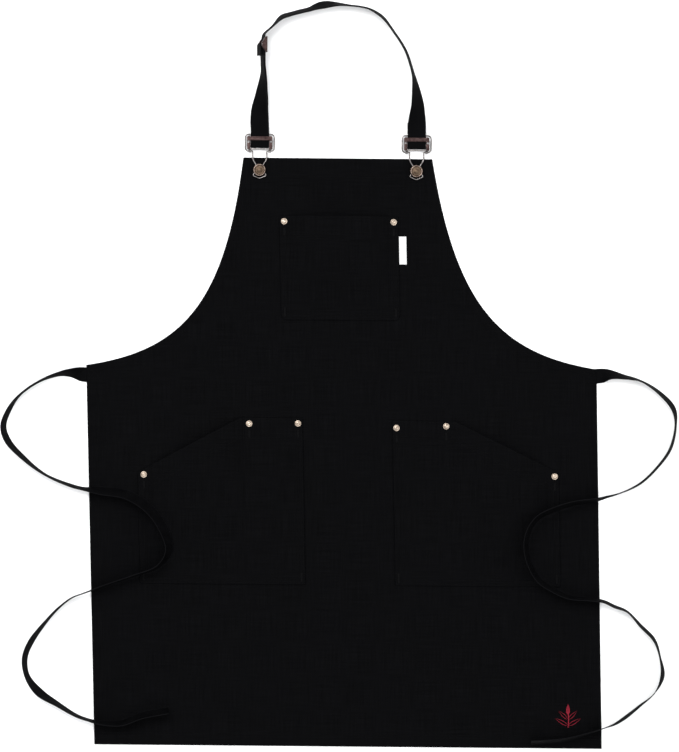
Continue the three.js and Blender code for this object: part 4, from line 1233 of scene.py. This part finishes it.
def add_rivets(pocket):
    for index, spot in enumerate(rivet_spots(pocket)):
        node = f"{pocket['name']}_rivet_{index + 1}"
        cap = turned(f"{node}_cap", RIVET_CAP, 40, BRASS, lay(*spot))
        place_piece(cap, "apron", [node])
        burr = turned(f"{node}_back", RIVET_BURR, 32, BRASS, lay(*spot))
        place_piece(burr, "apron", [f"{node}_burr"])


for hand, label in zip(HANDS, ("left", "right")):
    add_wire(hand, label)
    add_plate(hand, label)
    add_button(hand, label)
for each in POCKETS:
    add_rivets(each)

# ---------------------------------------------------------------- label and motif


def add_label():
    """A folded satin tag, sewn in along its left edge, with its fold lifting a little at the right."""
    left, low, width, height = 0.0813, 0.6564, 0.010, 0.038
    u, v = np.meshgrid(np.linspace(left, left + width, 16), np.linspace(low, low + height, 44))
    share = (u - left) / width
    lift = 0.72 * MM + 0.55 * MM * share**2 + 0.12 * MM * np.sin(v * 260) * share
    tag = slab("side_label", lifted(u, v, panel_top(u, v) + lift), 0.6 * MM, LABEL_MAT)
    place_piece(tag, "apron", ["label_tag"])


def add_motif():
    """A red sprig in satin stitch: each leaf is two rows of slanting threads that meet on its vein."""
    threads = Stitches(0.50 * MM)
    base = np.array([0.300, 0.028])
    height, row = 0.030, 0.5 * MM

    def stitch(start, end, rise):
        threads.lay(*(lifted(u, v, panel_top(u, v) + 0.1 * MM) for u, v in (start, end)), rise)

    def leaf(root, tip, breadth, hollow):
        root, vein = base + root, np.subtract(tip, root)
        length = float(np.linalg.norm(vein))
        along = vein / length
        across = np.array([-along[1], along[0]])
        count = int(length / (0.45 * MM))
        for step in range(count):
            share = (step + 0.5) / count
            half = breadth * math.sin(math.pi * min(share * 0.94 + 0.04, 1) ** 0.8)
            middle = root + vein * share
            for hand in HANDS:
                sweep = (across * hand - along * 0.375) * half
                stitch(middle + sweep * hollow, middle + sweep, 0.18 * MM)

    count = int(height / row)
    for step in range(count):
        rise = height * (step + 0.5) / count * 0.72
        start = base + (0.7 * MM * math.sin(rise * 130) - 0.75 * MM, rise)
        stitch(start, start + (1.5 * MM, 0.5 * MM), 0.22 * MM)
    leaf((0, 0.0185), (0.0004, 0.0325), 2.7 * MM, 0.04)
    for hand in HANDS:
        leaf((hand * 0.0010, 0.0035), (hand * 0.0176, 0.0130), 2.5 * MM, 0.62)
        leaf((hand * 0.0010, 0.0120), (hand * 0.0128, 0.0236), 2.3 * MM, 0.62)
    threads.build("sprig_threads", RED_THREAD, "apron", ["embroidered_motif"])


add_label()
add_motif()

# ---------------------------------------------------------------- adjuster

ADJUSTER_AT = (-0.1075, 0.553)
STRAP_TILT = math.radians(78)
STRAP_LIFT = 3.9 * MM
CENTRE_BAR = 4.7 * MM


def in_adjuster(points):
    """Points given in the adjuster's frame (x across the strap, y along, z outwards), in the model's."""
    x, y, z = np.asarray(points, float).T
    cos, sin = math.cos(STRAP_TILT), math.sin(STRAP_TILT)
    height = STRAP_LIFT + (STRAP_WIDTH * sin + STRAP_THICK * cos) / 2
    middle = ADJUSTER_AT - CENTRE
    return np.stack([x * cos - z * sin + middle[0], y + middle[1], x * sin + z * cos + height], axis=1)


def add_adjuster():
    pieces = []
    reach, inside, rail, foot, peak = 0.011, 0.0129, 2.6 * MM, 1.3 * MM, 1.4 * MM
    right = [*arc(reach - foot, -1.15 * MM, foot, -90, 50), *arc(1.6 * MM, 4.1 * MM, peak, 50, 90, 4)]
    gable = right + [(-y, z) for y, z in right[::-1]]
    for hand in HANDS:
        near, far = sorted((hand * inside, hand * (inside + rail)))
        cheek = bevelled("adjuster_cheek", gable, near, far, BROWN, 0.55 * MM)
        settle(cheek, lambda points: points[:, (2, 0, 1)])
        pieces.append(cheek)
    through = inside + rail + 0.35 * MM
    end_section = circle_section(1.0 * MM, 18, 0.82), STEEL
    for end in HANDS:
        pieces.append(crossbar("adjuster_end_bar", through, end * 0.0097, -1.75 * MM, end_section))
    centre_section = circle_section(0.8 * MM, 16), STEEL
    pieces.append(crossbar("adjuster_centre_bar", through, 0.0, CENTRE_BAR, centre_section))
    for piece in pieces:
        settle(piece, in_adjuster)
        place_piece(piece, "adjuster")
    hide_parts("strap_adjuster")

    radius = 1.7 * MM
    turn = np.linspace(0, math.pi, 15)
    tail = np.linspace(-0.014, 0, 7)[:-1]
    lower = np.stack([0 * tail, tail, np.full(len(tail), CENTRE_BAR - radius)], axis=1)
    bend = np.stack([0 * turn, radius * np.sin(turn), CENTRE_BAR - radius * np.cos(turn)], axis=1)
    upper = lower[::-1].copy()
    upper[:, 2] = CENTRE_BAR + radius
    line = in_adjuster(np.concatenate([lower, bend, upper]))
    across = in_adjuster([(-1, 0, 0)]) - in_adjuster([(0, 0, 0)])
    sides = np.repeat(unit(across), len(line), axis=0)
    fold = strap_mesh("strap_end_loop", line, sides, STRAP_WIDTH - 0.6 * MM, STRAP_THICK, WEBBING_MAT)
    place_piece(fold, "adjuster", ["strap_end_fold"])

    rows = Stitches(0.5 * MM)
    face = CENTRE_BAR + radius + 0.68 * MM
    for along in (-0.0115, -0.0085):
        for start in -0.0095 + np.arange(9) * 0.0021:
            rows.lay(*in_adjuster([(start, along, face), (start + 1.7 * MM, along, face)]))
    rows.build("strap_end_stitches", BLACK_THREAD, "adjuster")


add_adjuster()

# ---------------------------------------------------------------- table and light


def add_table():
    shader = Shader("pale_table")
    grain = shader.noise(shader.position(), 6.0)
    color = shader.ramp(grain, (0.80, 0.80, 0.80), (0.82, 0.82, 0.82))
    material = shader.finish(color, 0.9, None, Specular_IOR_Level=0.1)
    reach = 30.0
    points = [(-reach, -reach, 0), (reach, -reach, 0), (reach, reach, 0), (-reach, reach, 0)]
    table = add_mesh("table", points, [(0, 1, 2, 3)], material, smooth=False)
    table.location.z = -0.05 * MM


def add_light(name, location, size, power):
    data = bpy.data.lights.new(name, "AREA")
    data.shape = "DISK"
    data.size = size
    data.energy = power
    made = bpy.data.objects.new(name, data)
    bpy.context.scene.collection.objects.link(made)
    made.location = location
    made.rotation_euler = (-Vector(location)).to_track_quat("-Z", "Y").to_euler()


def add_lighting():
    world = bpy.data.worlds.new("studio")
    world.use_nodes = True
    tree = world.node_tree
    height = tree.nodes.new("ShaderNodeSeparateXYZ")
    tree.links.new(tree.nodes.new("ShaderNodeTexCoord").outputs["Generated"], height.inputs[0])
    sky = tree.nodes.new("ShaderNodeValToRGB")
    sky.color_ramp.elements[0].position, sky.color_ramp.elements[1].position = 0.12, 0.72
    sky.color_ramp.elements[0].color = (0.10, 0.10, 0.11, 1)
    sky.color_ramp.elements[1].color = (0.98, 0.99, 1.0, 1)
    tree.links.new(height.outputs["Z"], sky.inputs["Fac"])
    tree.links.new(sky.outputs["Color"], tree.nodes["Background"].inputs["Color"])
    tree.nodes["Background"].inputs["Strength"].default_value = 2.1
    bpy.context.scene.world = world
    add_light("key", (-0.9, 1.3, 3.0), 1.5, 70)
    add_light("fill", (2.2, 0.4, 2.4), 2.0, 20)
    bpy.context.scene.view_settings.view_transform = "Standard"


add_table()
add_lighting()
